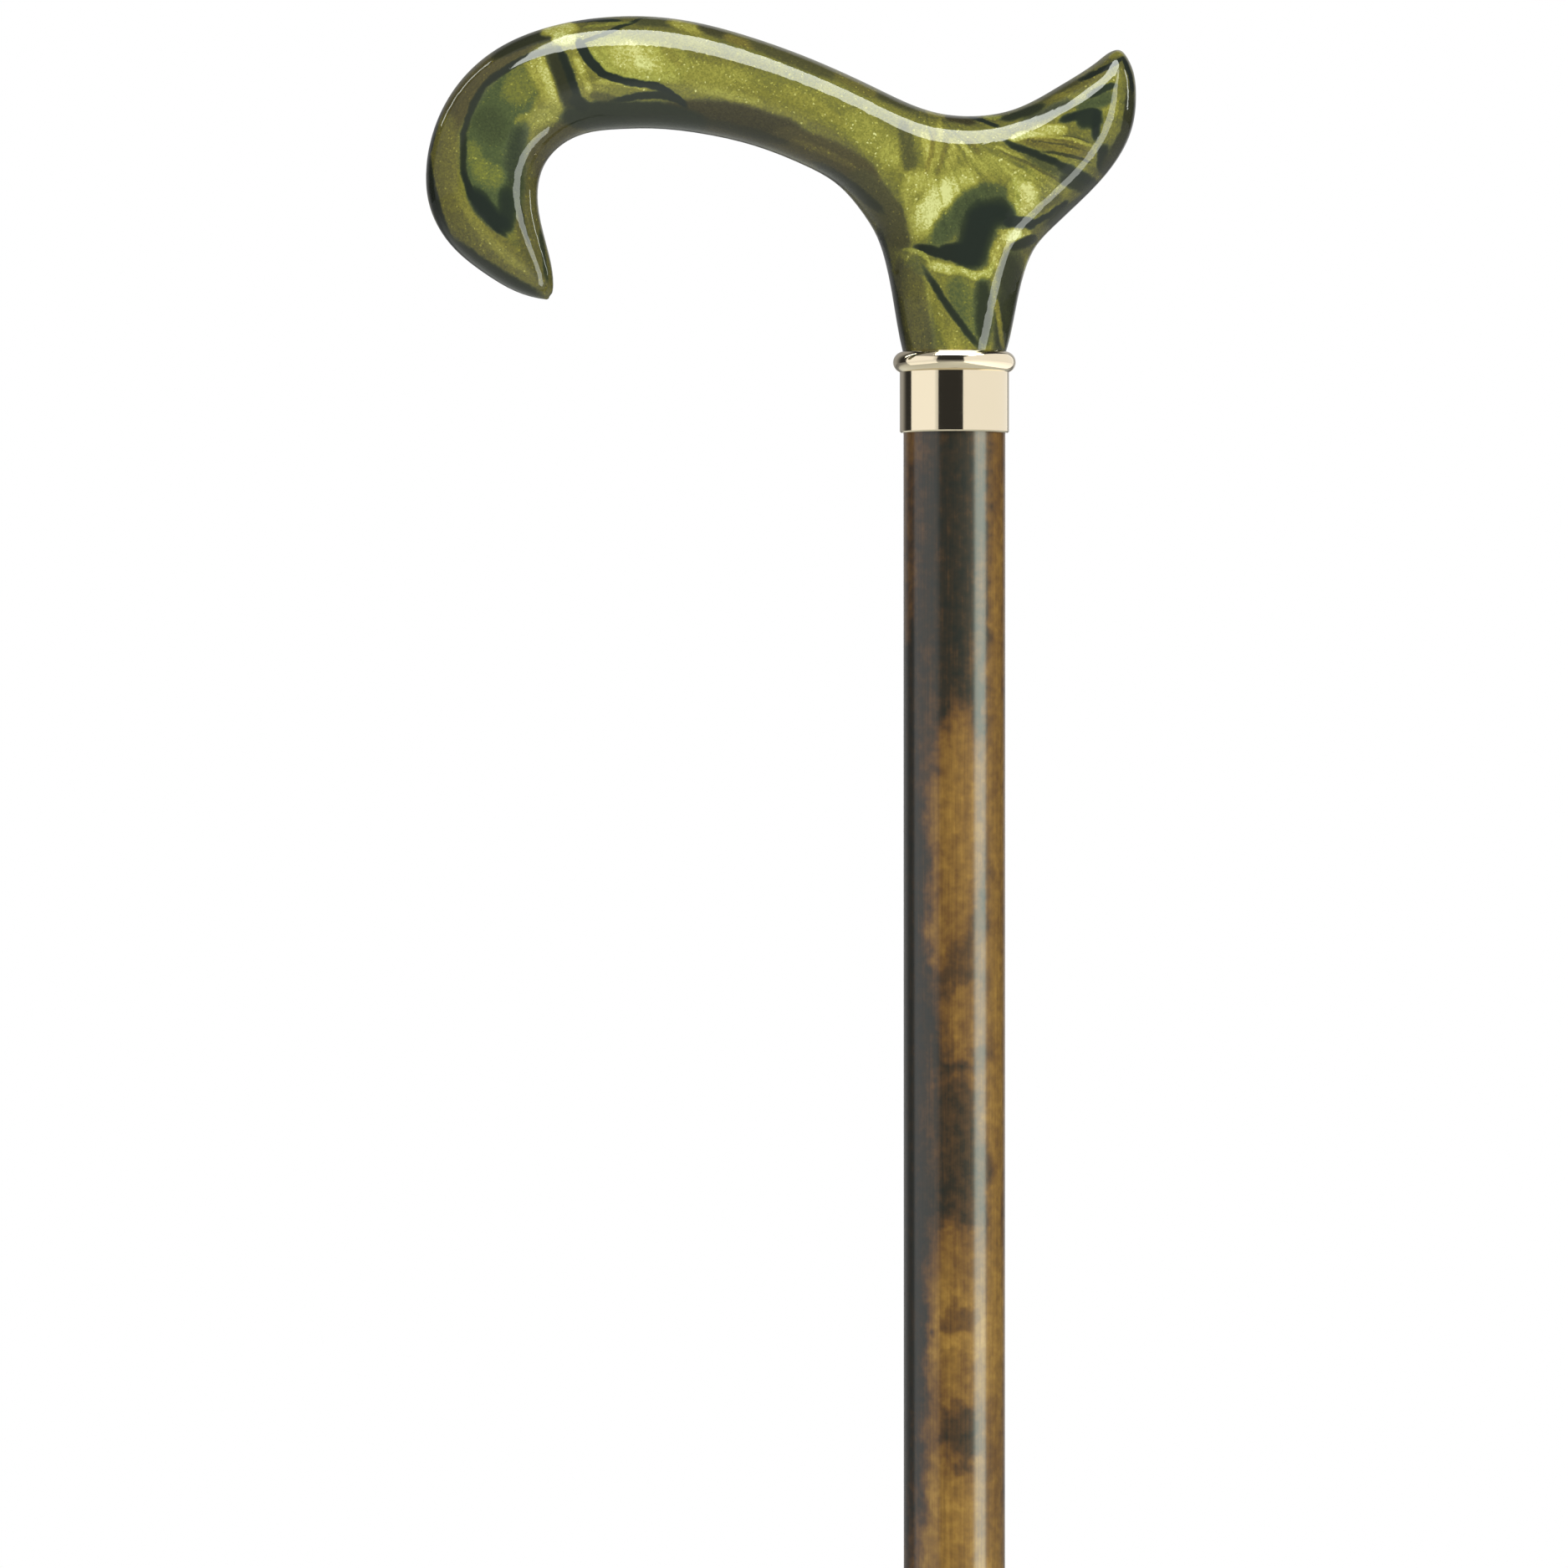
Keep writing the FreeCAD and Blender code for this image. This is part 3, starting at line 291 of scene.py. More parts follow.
    (5.0, 43.6, 9.0, 43.2, 0.5, 0.0, 0.90, 1.0, 0.60, 0.10),
    (8.5, 42.8, 16.5, 45.6, 0.8, -0.3, 0.80, 1.0, 0.12, 0.30),
    (15.5, 46.6, 23.5, 50.3, 0.9, 0.0, 0.80, 1.0, 0.36, 0.60),
    (17.0, 45.9, 28.0, 51.6, 0.6, -0.2, 0.90, 1.0, 0.54, 0.60),
    (23.0, 50.2, 31.4, 54.4, 0.5, -0.3, 0.60, 1.0, 0.0, 0.20),
    (31.3, 54.6, 32.9, 47.0, 0.5, 0.5, 0.60, 1.0, 0.0, 0.20),
    (28.6, 54.4, 32.0, 55.2, 0.5, 0.4, 0.80, 1.0, 0.60, 0.50),
    (32.8, 48.0, 27.6, 33.0, 1.4, 1.2, 0.60, 1.0, 0.22, 0.50),
    (31.0, 51.0, 28.8, 38.0, 0.5, 1.1, 0.90, 1.0, 0.52, 0.40),
    (17.0, 23.2, 27.5, 31.4, 1.2, -0.6, 0.60, 1.0, 0.14, 0.35),
    (14.5, 25.2, 20.0, 29.2, 0.8, -0.2, 0.90, 0.9, 0.42, 0.55),
]
# Both resins, from their darkest to their brightest tone.
PEARL = [(0.0, "#2a312c"), (0.2, "#374030"), (0.4, "#56613f"), (0.6, "#83863f"), (0.8, "#aeae55"),
         (1.0, "#dde09c")]
BROWN = [(0.0, "#2a2a20"), (0.25, "#403826"), (0.45, "#605433"), (0.65, "#8a7c3a"), (0.85, "#b0a44c"),
         (1.0, "#d0c878")]

acrylic = start_finish(nodes["handle"], "polished pearl acrylic")
place = add_node(acrylic, "ShaderNodeTexCoord").outputs["Object"]
collar_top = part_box("collar")[1].z
MM_PER_METRE = 1000
from_collar = add_node(acrylic, "ShaderNodeMapping", {
    "Vector": place, "Scale": (MM_PER_METRE,) * 3,
    "Location": (0, 0, -MM_PER_METRE * collar_top)}).outputs["Vector"]

# Stirring leaves folds in the edges of the swirls: their size across and how far they push, in millimetres.
FOLDS = ((6.0, 0.8), (1.8, 0.45), (0.7, 0.3))
stirred = from_collar
for fold_size, fold_depth in FOLDS:
    noise = add_node(acrylic, "ShaderNodeTexNoise", {
        "Vector": from_collar, "Scale": 1 / fold_size, "Detail": 1.0, "Roughness": 0.5})
    push = add_node(acrylic, "ShaderNodeVectorMath", {
        0: noise.outputs["Color"], 1: (0.5, 0.5, 0.5)}, operation="SUBTRACT")
    stirred = add_node(acrylic, "ShaderNodeVectorMath", {
        0: push.outputs["Vector"], 1: (fold_depth,) * 3, 2: stirred},
        operation="MULTIPLY_ADD").outputs["Vector"]

# The calm pearl is a little cloudy. Towards the edges it gets painted shade, darker and browner: it starts
# and is full at these distances from the middle plane. Sizes are in millimetres.
CLOUD_SIZE = 6.0
CALM_TONES = (0.48, 0.66)
CALM_WARMTH = 0.38
EDGE_SHADE_TONE = 0.42
EDGE_SHADE_WARMTH = 0.6
EDGE_SHADE_COVER = 0.8
EDGE_SHADE_STARTS = 7.9
EDGE_SHADE_FULLY = 5.0
clouds = add_node(acrylic, "ShaderNodeTexNoise", {
    "Vector": stirred, "Scale": 1 / CLOUD_SIZE, "Detail": 3.0, "Roughness": 0.55})
calm = add_node(acrylic, "ShaderNodeMapRange", {
    "Value": clouds.outputs["Fac"], "From Min": 0.25, "From Max": 0.75,
    "To Min": CALM_TONES[0], "To Max": CALM_TONES[1]})
grip_part = add_node(acrylic, "ShaderNodeSeparateXYZ", {"Vector": from_collar})
from_middle = add_node(acrylic, "ShaderNodeMath", {0: grip_part.outputs["Y"]}, operation="ABSOLUTE")
edge_shade = add_node(acrylic, "ShaderNodeMapRange", {
    "Value": from_middle.outputs["Value"], "From Min": EDGE_SHADE_STARTS, "From Max": EDGE_SHADE_FULLY,
    "To Max": EDGE_SHADE_COVER}, interpolation_type="SMOOTHSTEP")
tone = add_node(acrylic, "ShaderNodeMix", {
    "Factor": edge_shade.outputs["Result"], 2: calm.outputs["Result"], 3: EDGE_SHADE_TONE},
    data_type="FLOAT").outputs[0]
warmth = add_node(acrylic, "ShaderNodeMix", {
    "Factor": edge_shade.outputs["Result"], 2: CALM_WARMTH, 3: EDGE_SHADE_WARMTH},
    data_type="FLOAT").outputs[0]
stirred_part = add_node(acrylic, "ShaderNodeSeparateXYZ", {"Vector": stirred})
flat_place = add_node(acrylic, "ShaderNodeCombineXYZ", {
    "X": stirred_part.outputs["X"], "Y": 1.0, "Z": stirred_part.outputs["Z"]}).outputs["Vector"]
tone, warmth = paint(acrylic, flat_place, SWIRLS_AND_SHADE, tone, warmth)

# Streaks fan out from the top of the grip over the neck and the tail, each a few degrees wide, and change
# slowly along their length. They fade out towards the palm rest. Places are in millimetres.
FAN_CENTRE = (-6.0, 0.0, 47.0)
STREAKS_PER_RADIAN = 14.0
STREAK_CHANGE_PER_MM = 0.06
STREAK_LEVELS = (0.84, 1.16)
NO_STREAKS_LEFT_OF = -14.0
ALL_STREAKS_RIGHT_OF = -6.0
from_fan = add_node(acrylic, "ShaderNodeVectorMath", {0: stirred, 1: FAN_CENTRE}, operation="SUBTRACT")
fan_part = add_node(acrylic, "ShaderNodeSeparateXYZ", {"Vector": from_fan.outputs["Vector"]})
fan_reach = add_node(acrylic, "ShaderNodeVectorMath", {0: from_fan.outputs["Vector"]}, operation="LENGTH")
fan_turn = add_node(acrylic, "ShaderNodeMath", {
    0: fan_part.outputs["Z"], 1: fan_part.outputs["X"]}, operation="ARCTAN2")
fan_turns = add_node(acrylic, "ShaderNodeMath", {
    0: fan_turn.outputs["Value"], 1: STREAKS_PER_RADIAN}, operation="MULTIPLY")
fan_along = add_node(acrylic, "ShaderNodeMath", {
    0: fan_reach.outputs["Value"], 1: STREAK_CHANGE_PER_MM}, operation="MULTIPLY")
fan_place = add_node(acrylic, "ShaderNodeCombineXYZ", {
    "X": fan_turns.outputs["Value"], "Y": fan_along.outputs["Value"]})
fan = add_node(acrylic, "ShaderNodeTexNoise", {
    "Vector": fan_place.outputs["Vector"], "Scale": 1.0, "Detail": 3.0, "Roughness": 0.6})
fan_level = add_node(acrylic, "ShaderNodeMapRange", {
    "Value": fan.outputs["Fac"], "From Min": 0.3, "From Max": 0.7,
    "To Min": STREAK_LEVELS[0], "To Max": STREAK_LEVELS[1]})
fan_cover = add_node(acrylic, "ShaderNodeMapRange", {
    "Value": grip_part.outputs["X"], "From Min": NO_STREAKS_LEFT_OF, "From Max": ALL_STREAKS_RIGHT_OF})
streaked = add_node(acrylic, "ShaderNodeMix", {
    "Factor": fan_cover.outputs["Result"], 2: 1.0, 3: fan_level.outputs["Result"]}, data_type="FLOAT")

# Flakes. Real ones are about 0.05 mm; they are drawn at 0.3 mm so that they show as a fine glitter, most in
# the bright pearl. A few lie flat and flash: their flashes are painted glints, a lighter tone added to the
# colour.
FLAKE_SIZE = 0.3
SHIMMER = (0.88, 1.12)
FLASHING_SHARE = 0.04
FLASH_TONE = 0.4
FEWEST_FLAKES_TONE = 0.15
MOST_FLAKES_TONE = 0.75
flakes = add_node(acrylic, "ShaderNodeTexVoronoi", {"Vector": from_collar, "Scale": 1 / FLAKE_SIZE})
flake = add_node(acrylic, "ShaderNodeSeparateXYZ", {"Vector": flakes.outputs["Color"]})
shimmer = add_node(acrylic, "ShaderNodeMapRange", {
    "Value": flake.outputs["X"], "To Min": SHIMMER[0], "To Max": SHIMMER[1]})
flash = add_node(acrylic, "ShaderNodeMapRange", {
    "Value": flake.outputs["Y"], "From Min": 1 - FLASHING_SHARE, "From Max": 1.0, "To Max": FLASH_TONE})
flake_cover = add_node(acrylic, "ShaderNodeMapRange", {
    "Value": tone, "From Min": FEWEST_FLAKES_TONE, "From Max": MOST_FLAKES_TONE})
painted_glints = add_node(acrylic, "ShaderNodeMath", {
    0: flash.outputs["Result"], 1: flake_cover.outputs["Result"]}, operation="MULTIPLY")
sheen = add_node(acrylic, "ShaderNodeMath", {
    0: streaked.outputs[0], 1: shimmer.outputs["Result"]}, operation="MULTIPLY")
tone = add_node(acrylic, "ShaderNodeMath", {
    0: tone, 1: sheen.outputs["Value"], 2: painted_glints.outputs["Value"]},
    operation="MULTIPLY_ADD", use_clamp=True).outputs["Value"]
pearl = add_node(acrylic, "ShaderNodeMix", {
    "Factor": warmth, 6: paint_ramp(acrylic, tone, PEARL), 7: paint_ramp(acrylic, tone, BROWN)},
    data_type="RGBA")
gloss = add_node(acrylic, "ShaderNodeBsdfPrincipled", {
    "Base Color": pearl.outputs[2], "Roughness": 0.5, "Specular IOR Level": 0.0,
    "Coat Weight": 1.0, "Coat Roughness": 0.02, "Coat IOR": 1.49})
add_node(acrylic, "ShaderNodeOutputMaterial", {"Surface": gloss.outputs["BSDF"]})


# Insert. A turned brass bush with straight knurling, glued into the grip. The collar and the grip hide it.
bush_brass = start_finish(nodes["handle_insert"], "turned brass")
bush = add_node(bush_brass, "ShaderNodeBsdfPrincipled", {
    "Base Color": linear("#d9b45e"), "Metallic": 1.0, "Roughness": 0.28})
add_node(bush_brass, "ShaderNodeOutputMaterial", {"Surface": bush.outputs["BSDF"]})


# Hanger bolt. Cold-headed steel with a thin bright zinc plating, hidden inside the joint.
zinc = start_finish(nodes["hanger_bolt"], "zinc-plated steel")
bolt = add_node(zinc, "ShaderNodeBsdfPrincipled", {
    "Base Color": linear("#c9ccd0"), "Metallic": 1.0, "Roughness": 0.32})
add_node(zinc, "ShaderNodeOutputMaterial", {"Surface": bolt.outputs["BSDF"]})


# Collar. Spun from brass tube with a bead rolled at its top edge, then polished and gilt. The buffing wheel
# leaves it almost a mirror, with faint streaks round it, 0.25 mm apart and 15 to 20 mm long.
BUFFING_PER_METRE = (60, 60, 4000)
BUFFED_ROUGHNESS = (0.05, 0.1)
gilt = start_finish(nodes["collar"], "polished gilt brass")
gilt_place = add_node(gilt, "ShaderNodeTexCoord").outputs["Object"]
buffed = add_node(gilt, "ShaderNodeMapping", {"Vector": gilt_place, "Scale": BUFFING_PER_METRE})
streaks = add_node(gilt, "ShaderNodeTexNoise", {
    "Vector": buffed.outputs["Vector"], "Scale": 1.0, "Detail": 2.0})
buffing = add_node(gilt, "ShaderNodeMapRange", {
    "Value": streaks.outputs["Fac"], "From Min": 0.3, "From Max": 0.7,
    "To Min": BUFFED_ROUGHNESS[0], "To Max": BUFFED_ROUGHNESS[1]})
collar = add_node(gilt, "ShaderNodeBsdfPrincipled", {
    "Base Color": linear("#f1e3c6"), "Metallic": 1.0, "Roughness": buffing.outputs["Result"]})
add_node(gilt, "ShaderNodeOutputMaterial", {"Surface": collar.outputs["BSDF"]})


# Shaft. Turned beech, scorched with a flame until its bands go from honey to near black, then lacquered. The
# lacquer fills the pores and gives a satin gloss, and the grain shows through it as fine dark lines.

# Scorched and bare places, painted as the swirls on the grip are. The first two run the whole shaft down its
# right and left sides: partly the scorching, partly painted light on the right and painted shade on the left.
# The wood has one row of colours, so their warmth is 0.
SCORCHES_AND_SIDE_LIGHT = [
    (8.2, -8.0, 8.2, -228.0, 2.3, 0.0, 1.0, 0.85, 0.74, 0.0),
    (-8.8, -50.0, -8.8, -228.0, 3.4, 0.0, 0.80, 0.95, 0.04, 0.0),
    (-9.4, -12.0, -9.0, -54.0, 1.6, 0.0, 0.90, 0.90, 0.52, 0.0),
    (-1.6, -8.0, -2.4, -62.0, 5.6, 0.0, 0.80, 0.95, 0.10, 0.0),
    (-5.4, -56.0, -5.8, -84.0, 2.2, 0.0, 1.0, 0.80, 0.24, 0.0),
    (1.0, -67.0, 0.4, -106.0, 4.4, 0.0, 0.80, 0.95, 0.70, 0.0),
    (-1.5, -112.0, 3.5, -111.0, 3.0, 0.0, 1.0, 0.80, 0.34, 0.0),
    (1.2, -118.0, 1.0, -130.0, 4.6, 0.0, 0.90, 0.90, 0.66, 0.0),
    (-2.4, -135.0, 2.4, -157.0, 5.4, 0.0, 0.90, 0.95, 0.20, 0.0),
    (1.0, -163.0, 2.0, -174.0, 4.4, 0.0, 0.90, 0.85, 0.62, 0.0),
    (-3.0, -180.0, 4.0, -180.5, 2.8, 0.0, 1.0, 0.70, 0.36, 0.0),
    (0.0, -186.0, 1.0, -192.0, 4.6, 0.0, 0.90, 0.80, 0.58, 0.0),
    (-3.0, -201.0, 4.0, -200.0, 5.2, 0.0, 0.90, 0.90, 0.22, 0.0),
]
BEECH = [(0.0, "#1f201a"), (0.15, "#2e261a"), (0.35, "#50381f"), (0.55, "#6f4d22"), (0.75, "#8d682b"),
         (1.0, "#b58a3e")]

beech = start_finish(nodes["shaft"], "scorched and lacquered beech")
beech_place = add_node(beech, "ShaderNodeTexCoord").outputs["Object"]
below_collar = add_node(beech, "ShaderNodeMapping", {
    "Vector": beech_place, "Scale": (MM_PER_METRE,) * 3,
    "Location": (0, 0, -MM_PER_METRE * collar_top)}).outputs["Vector"]

# The flame wandered, so the edges of the scorches drift. Where none is painted, its bands go on down the
# shaft. Sizes are in millimetres.
SMOKE_SIZE = 7.0
SMOKE_DRIFT = (7.0, 7.0, 14.0)
BAND_SIZE = 26.0
BAND_TONES = (0.14, 0.74)
smoke = add_node(beech, "ShaderNodeTexNoise", {
    "Vector": below_collar, "Scale": 1 / SMOKE_SIZE, "Detail": 3.0, "Roughness": 0.6})
drift = add_node(beech, "ShaderNodeVectorMath", {
    0: smoke.outputs["Color"], 1: (0.5, 0.5, 0.5)}, operation="SUBTRACT")
drifted = add_node(beech, "ShaderNodeVectorMath", {
    0: drift.outputs["Vector"], 1: SMOKE_DRIFT, 2: below_collar},
    operation="MULTIPLY_ADD").outputs["Vector"]
drifted_part = add_node(beech, "ShaderNodeSeparateXYZ", {"Vector": drifted})
flat_drifted = add_node(beech, "ShaderNodeCombineXYZ", {
    "X": drifted_part.outputs["X"], "Y": 1.0, "Z": drifted_part.outputs["Z"]}).outputs["Vector"]
bands = add_node(beech, "ShaderNodeTexNoise", {
    "Vector": drifted, "Scale": 1 / BAND_SIZE, "Detail": 1.0, "Roughness": 0.5})
band_tone = add_node(beech, "ShaderNodeMapRange", {
    "Value": bands.outputs["Fac"], "From Min": 0.35, "From Max": 0.65,
    "To Min": BAND_TONES[0], "To Max": BAND_TONES[1]})
scorch_and_side_light = paint(beech, flat_drifted, SCORCHES_AND_SIDE_LIGHT, band_tone.outputs["Result"], 0.0)[0]

# Grain lines run down the shaft, 0.5 mm apart and 20 mm long, and flecks about 2 mm wide lie between them.
GRAIN_APART = 0.5
GRAIN_LENGTH = 20.0
GRAIN_STRENGTH = 0.09
FLECK_SIZE = 2.2
FLECK_STRENGTH = 0.11
stretched = add_node(beech, "ShaderNodeMapping", {
    "Vector": below_collar, "Scale": (1 / GRAIN_APART, 1 / GRAIN_APART, 1 / GRAIN_LENGTH)})
grain = add_node(beech, "ShaderNodeTexNoise", {
    "Vector": stretched.outputs["Vector"], "Scale": 1.0, "Detail": 4.0, "Roughness": 0.65})
flecks = add_node(beech, "ShaderNodeTexNoise", {
    "Vector": below_collar, "Scale": 1 / FLECK_SIZE, "Detail": 2.0, "Roughness": 0.6})
grain_tone = add_node(beech, "ShaderNodeMapRange", {
    "Value": grain.outputs["Fac"], "From Min": 0.3, "From Max": 0.7,
    "To Min": -GRAIN_STRENGTH, "To Max": GRAIN_STRENGTH})
fleck_tone = add_node(beech, "ShaderNodeMapRange", {
    "Value": flecks.outputs["Fac"], "From Min": 0.3, "From Max": 0.7,
    "To Min": -FLECK_STRENGTH, "To Max": FLECK_STRENGTH})
texture = add_node(beech, "ShaderNodeMath", {
    0: grain_tone.outputs["Result"], 1: fleck_tone.outputs["Result"]}, operation="ADD")
wood_tone = add_node(beech, "ShaderNodeMath", {
    0: scorch_and_side_light, 1: texture.outputs["Value"]}, operation="ADD", use_clamp=True)
shaft = add_node(beech, "ShaderNodeBsdfPrincipled", {
    "Base Color": paint_ramp(beech, wood_tone.outputs["Value"], BEECH), "Roughness": 0.55,
    "Specular IOR Level": 0.2, "Coat Weight": 1.0, "Coat Roughness": 0.2})
add_node(beech, "ShaderNodeOutputMaterial", {"Surface": shaft.outputs["BSDF"]})


# Ferrule. Moulded black rubber, pushed on to the foot of the shaft. The mould was blasted, so the rubber is
# matt, with a stipple of 0.7 mm.
STIPPLE_PER_METRE = 1400.0
STIPPLE_DEPTH = 0.0002
rubber = start_finish(nodes["ferrule"], "moulded black rubber")
rubber_place = add_node(rubber, "ShaderNodeTexCoord").outputs["Object"]
stipple = add_node(rubber, "ShaderNodeTexNoise", {
    "Vector": rubber_place, "Scale": STIPPLE_PER_METRE, "Detail": 2.0})
stipple_bump = add_node(rubber, "ShaderNodeBump", {
    "Height": stipple.outputs["Fac"], "Strength": 0.25, "Distance": STIPPLE_DEPTH})
ferrule = add_node(rubber, "ShaderNodeBsdfPrincipled", {
    "Base Color": linear("#1d1d1c"), "Roughness": 0.68, "Normal": stipple_bump.outputs["Normal"]})
add_node(rubber, "ShaderNodeOutputMaterial", {"Surface": ferrule.outputs["BSDF"]})


# Washer. A stamped steel disc at the bottom of the ferrule's socket.
stamped = start_finish(nodes["ferrule_washer"], "stamped steel")
washer = add_node(stamped, "ShaderNodeBsdfPrincipled", {
    "Base Color": linear("#b9bbbe"), "Metallic": 1.0, "Roughness": 0.4})
add_node(stamped, "ShaderNodeOutputMaterial", {"Surface": washer.outputs["BSDF"]})


# Studio. A plain pale floor under the ferrule, which brightens away from it into a room that is white to the
# camera. The polish sees the same white straight behind the cane, with a pale patch of wall on both sides of
# it, and a pale wall at the left.
FLOOR_REACH = 12.0
BRIGHTENS_FROM = 0.4
BRIGHTENS_TO = 3.5
BRIGHT_SHARES = (0.45, 1.0)
bpy.ops.mesh.primitive_plane_add(size=FLOOR_REACH)
floor = bpy.context.object
floor.name = "floor"
paper = start_finish(floor, "pale paper floor")
matt = add_node(paper, "ShaderNodeBsdfDiffuse", {"Color": linear("#c9c9c9")})
pale = add_node(paper, "ShaderNodeEmission", {"Color": (1, 1, 1, 1), "Strength": 1.0})
paper_place = add_node(paper, "ShaderNodeTexCoord").outputs["Object"]
from_cane = add_node(paper, "ShaderNodeVectorMath", {0: paper_place}, operation="LENGTH")
pale_share = add_node(paper, "ShaderNodeMapRange", {
    "Value": from_cane.outputs["Value"], "From Min": BRIGHTENS_FROM, "From Max": BRIGHTENS_TO,
    "To Min": BRIGHT_SHARES[0], "To Max": BRIGHT_SHARES[1]}, interpolation_type="SMOOTHSTEP")
paper_ray = add_node(paper, "ShaderNodeLightPath")
pale_part = add_node(paper, "ShaderNodeMath", {
    0: paper_ray.outputs["Is Camera Ray"], 1: pale_share.outputs["Result"]}, operation="MULTIPLY")
paper_look = add_node(paper, "ShaderNodeMixShader", {
    0: pale_part.outputs["Value"], 1: matt.outputs["BSDF"], 2: pale.outputs["Emission"]})
add_node(paper, "ShaderNodeOutputMaterial", {"Surface": paper_look.outputs["Shader"]})

studio = bpy.data.worlds.new("studio room")
bpy.context.scene.world = studio
studio.use_nodes = True
room = studio.node_tree
room.nodes.clear()
ray = add_node(room, "ShaderNodeLightPath")
direction = add_node(room, "ShaderNodeTexCoord").outputs["Generated"]
way = add_node(room, "ShaderNodeSeparateXYZ", {"Vector": direction})
towards_camera = add_node(room, "ShaderNodeMath", {0: way.outputs["Y"], 1: -1.0}, operation="MULTIPLY")
bearing = add_node(room, "ShaderNodeMath", {
    0: way.outputs["X"], 1: towards_camera.outputs["Value"]}, operation="ARCTAN2")


def soft_step(value, start, end, height):
    """Climbs from 0 to a height while a value goes from start to end."""
    return add_node(room, "ShaderNodeMapRange", {
        "Value": value, "From Min": start, "From Max": end, "To Max": height},
        interpolation_type="SMOOTHSTEP").outputs["Result"]


def wall(start, end, edge, height):
    """Gives a height between two bearings in degrees, with soft edges, and 0 elsewhere."""
    rise = soft_step(bearing.outputs["Value"], math.radians(start - edge), math.radians(start + edge), 1.0)
    fall = soft_step(bearing.outputs["Value"], math.radians(end + edge), math.radians(end - edge), height)
    return add_node(room, "ShaderNodeMath", {0: rise, 1: fall}, operation="MULTIPLY").outputs["Value"]


# What the polish sees of the room. A bearing of 0 is towards the camera, and 180 straight behind the cane.
# The patches behind fade out on the way up and down, and the white straight behind fades out all round, both
# between two angles in degrees. A faint light is left past the patches.
PATCHES_WHOLE = 36
PATCHES_GONE = 48
WHITE_WHOLE = 8
WHITE_GONE = 14
FAINT = 0.03
left_wall = wall(-104, -41, 4, 0.33)
back_right = wall(150, 190, 12, 0.5)
back_left = wall(-190, -134, 14, 0.3)
behind = add_node(room, "ShaderNodeMath", {0: back_right, 1: back_left}, operation="ADD").outputs["Value"]
steepness = add_node(room, "ShaderNodeMath", {0: way.outputs["Z"]}, operation="ABSOLUTE").outputs["Value"]
low_down = soft_step(
    steepness, math.sin(math.radians(PATCHES_GONE)), math.sin(math.radians(PATCHES_WHOLE)), 1.0)
behind = add_node(room, "ShaderNodeMath", {
    0: behind, 1: low_down, 2: FAINT}, operation="MULTIPLY_ADD").outputs["Value"]
walls = add_node(room, "ShaderNodeMath", {0: left_wall, 1: behind}, operation="ADD").outputs["Value"]
straight_behind = soft_step(
    way.outputs["Y"], math.cos(math.radians(WHITE_GONE)), math.cos(math.radians(WHITE_WHOLE)), 1.0)
glossy_level = add_node(room, "ShaderNodeMath", {
    0: walls, 1: straight_behind}, operation="MAXIMUM").outputs["Value"]

# The room lights the colours evenly, and the camera and anything see-through get it plain white.
AMBIENT = 0.3
seen_level = add_node(room, "ShaderNodeMix", {
    0: ray.outputs["Is Glossy Ray"], 2: AMBIENT, 3: glossy_level}, data_type="FLOAT")
shown = add_node(room, "ShaderNodeMath", {
    0: ray.outputs["Is Camera Ray"], 1: ray.outputs["Is Transmission Ray"]}, operation="MAXIMUM")
room_level = add_node(room, "ShaderNodeMix", {
    0: shown.outputs["Value"], 2: seen_level.outputs[0], 3: 1.0}, data_type="FLOAT")
white = add_node(room, "ShaderNodeBackground", {"Color": (1, 1, 1, 1), "Strength": room_level.outputs[0]})
add_node(room, "ShaderNodeOutputWorld", {"Surface": white.outputs["Background"]})


# Lamps. An overhead softbox and a tall one at the right draw the long bright lines in the polish, two thin
# strips draw fine ones, and the shaft's lacquer has a softbox of its own. Plain panels at both sides stand
# for the pale walls in the gilt collar, and broad lamps in front and behind light the colours.
# Their cloth tints them a little green.
CLOTH = (0.96, 1.0, 0.92)
GREENER_CLOTH = (0.9, 1.0, 0.86)
WHITE_PANEL = (1.0, 1.0, 1.0)


def softbox(name, place, target, size, radiance, colour=CLOTH, for_polish=True):
    """A rectangular lamp of a radiance, turned towards a point, that the camera doesn't see.

    It either draws lines in the polish or lights the colours, never both.
    """
    lamp = bpy.data.lights.new(name, "AREA")
    lamp.shape = "RECTANGLE"
    lamp.size, lamp.size_y = size
    lamp.energy = radiance * size[0] * size[1] * math.pi
    lamp.color = colour
    holder = bpy.data.objects.new(name, lamp)
    bpy.context.scene.collection.objects.link(holder)
    holder.location = place
    holder.rotation_euler = (Vector(target) - Vector(place)).to_track_quat("-Z", "Y").to_euler()
    holder.visible_camera = False
    holder.visible_diffuse = not for_polish
    holder.visible_glossy = for_polish
    return holder


def link_light(lamp, pieces, state):
    """Lets a lamp light only some pieces, or all but some."""
    linked = bpy.data.collections.new(f"{state.lower()} for {lamp.name}")
    for piece in pieces:
        linked.objects.link(piece)
    lamp.light_linking.receiver_collection = linked
    for entry in linked.collection_objects:
        entry.light_linking.link_state = state


def toward(bearing_degrees, height_degrees, distance):
    """A place seen from the grip at a bearing from the camera's side, positive to the right, and a height."""
    turn, lift = math.radians(bearing_degrees), math.radians(height_degrees)
    return (GRIP_CENTRE[0] + distance * math.sin(turn) * math.cos(lift),
            GRIP_CENTRE[1] - distance * math.cos(turn) * math.cos(lift),
            GRIP_CENTRE[2] + distance * math.sin(lift))


GRIP_CENTRE = (-0.032, 0.0, 0.89)
NECK = (0.004, 0.0, 0.87)

# The overhead softbox looks straight down: its target lies 0.1 mm off, which settles how it is turned.
OVERHEAD_TURN = -10
overhead = softbox("overhead softbox", (0.055, -0.43, 1.81), (0.055, -0.4301, 0.9), (1.38, 0.74), 10.1)
overhead.rotation_euler.z += math.radians(OVERHEAD_TURN)

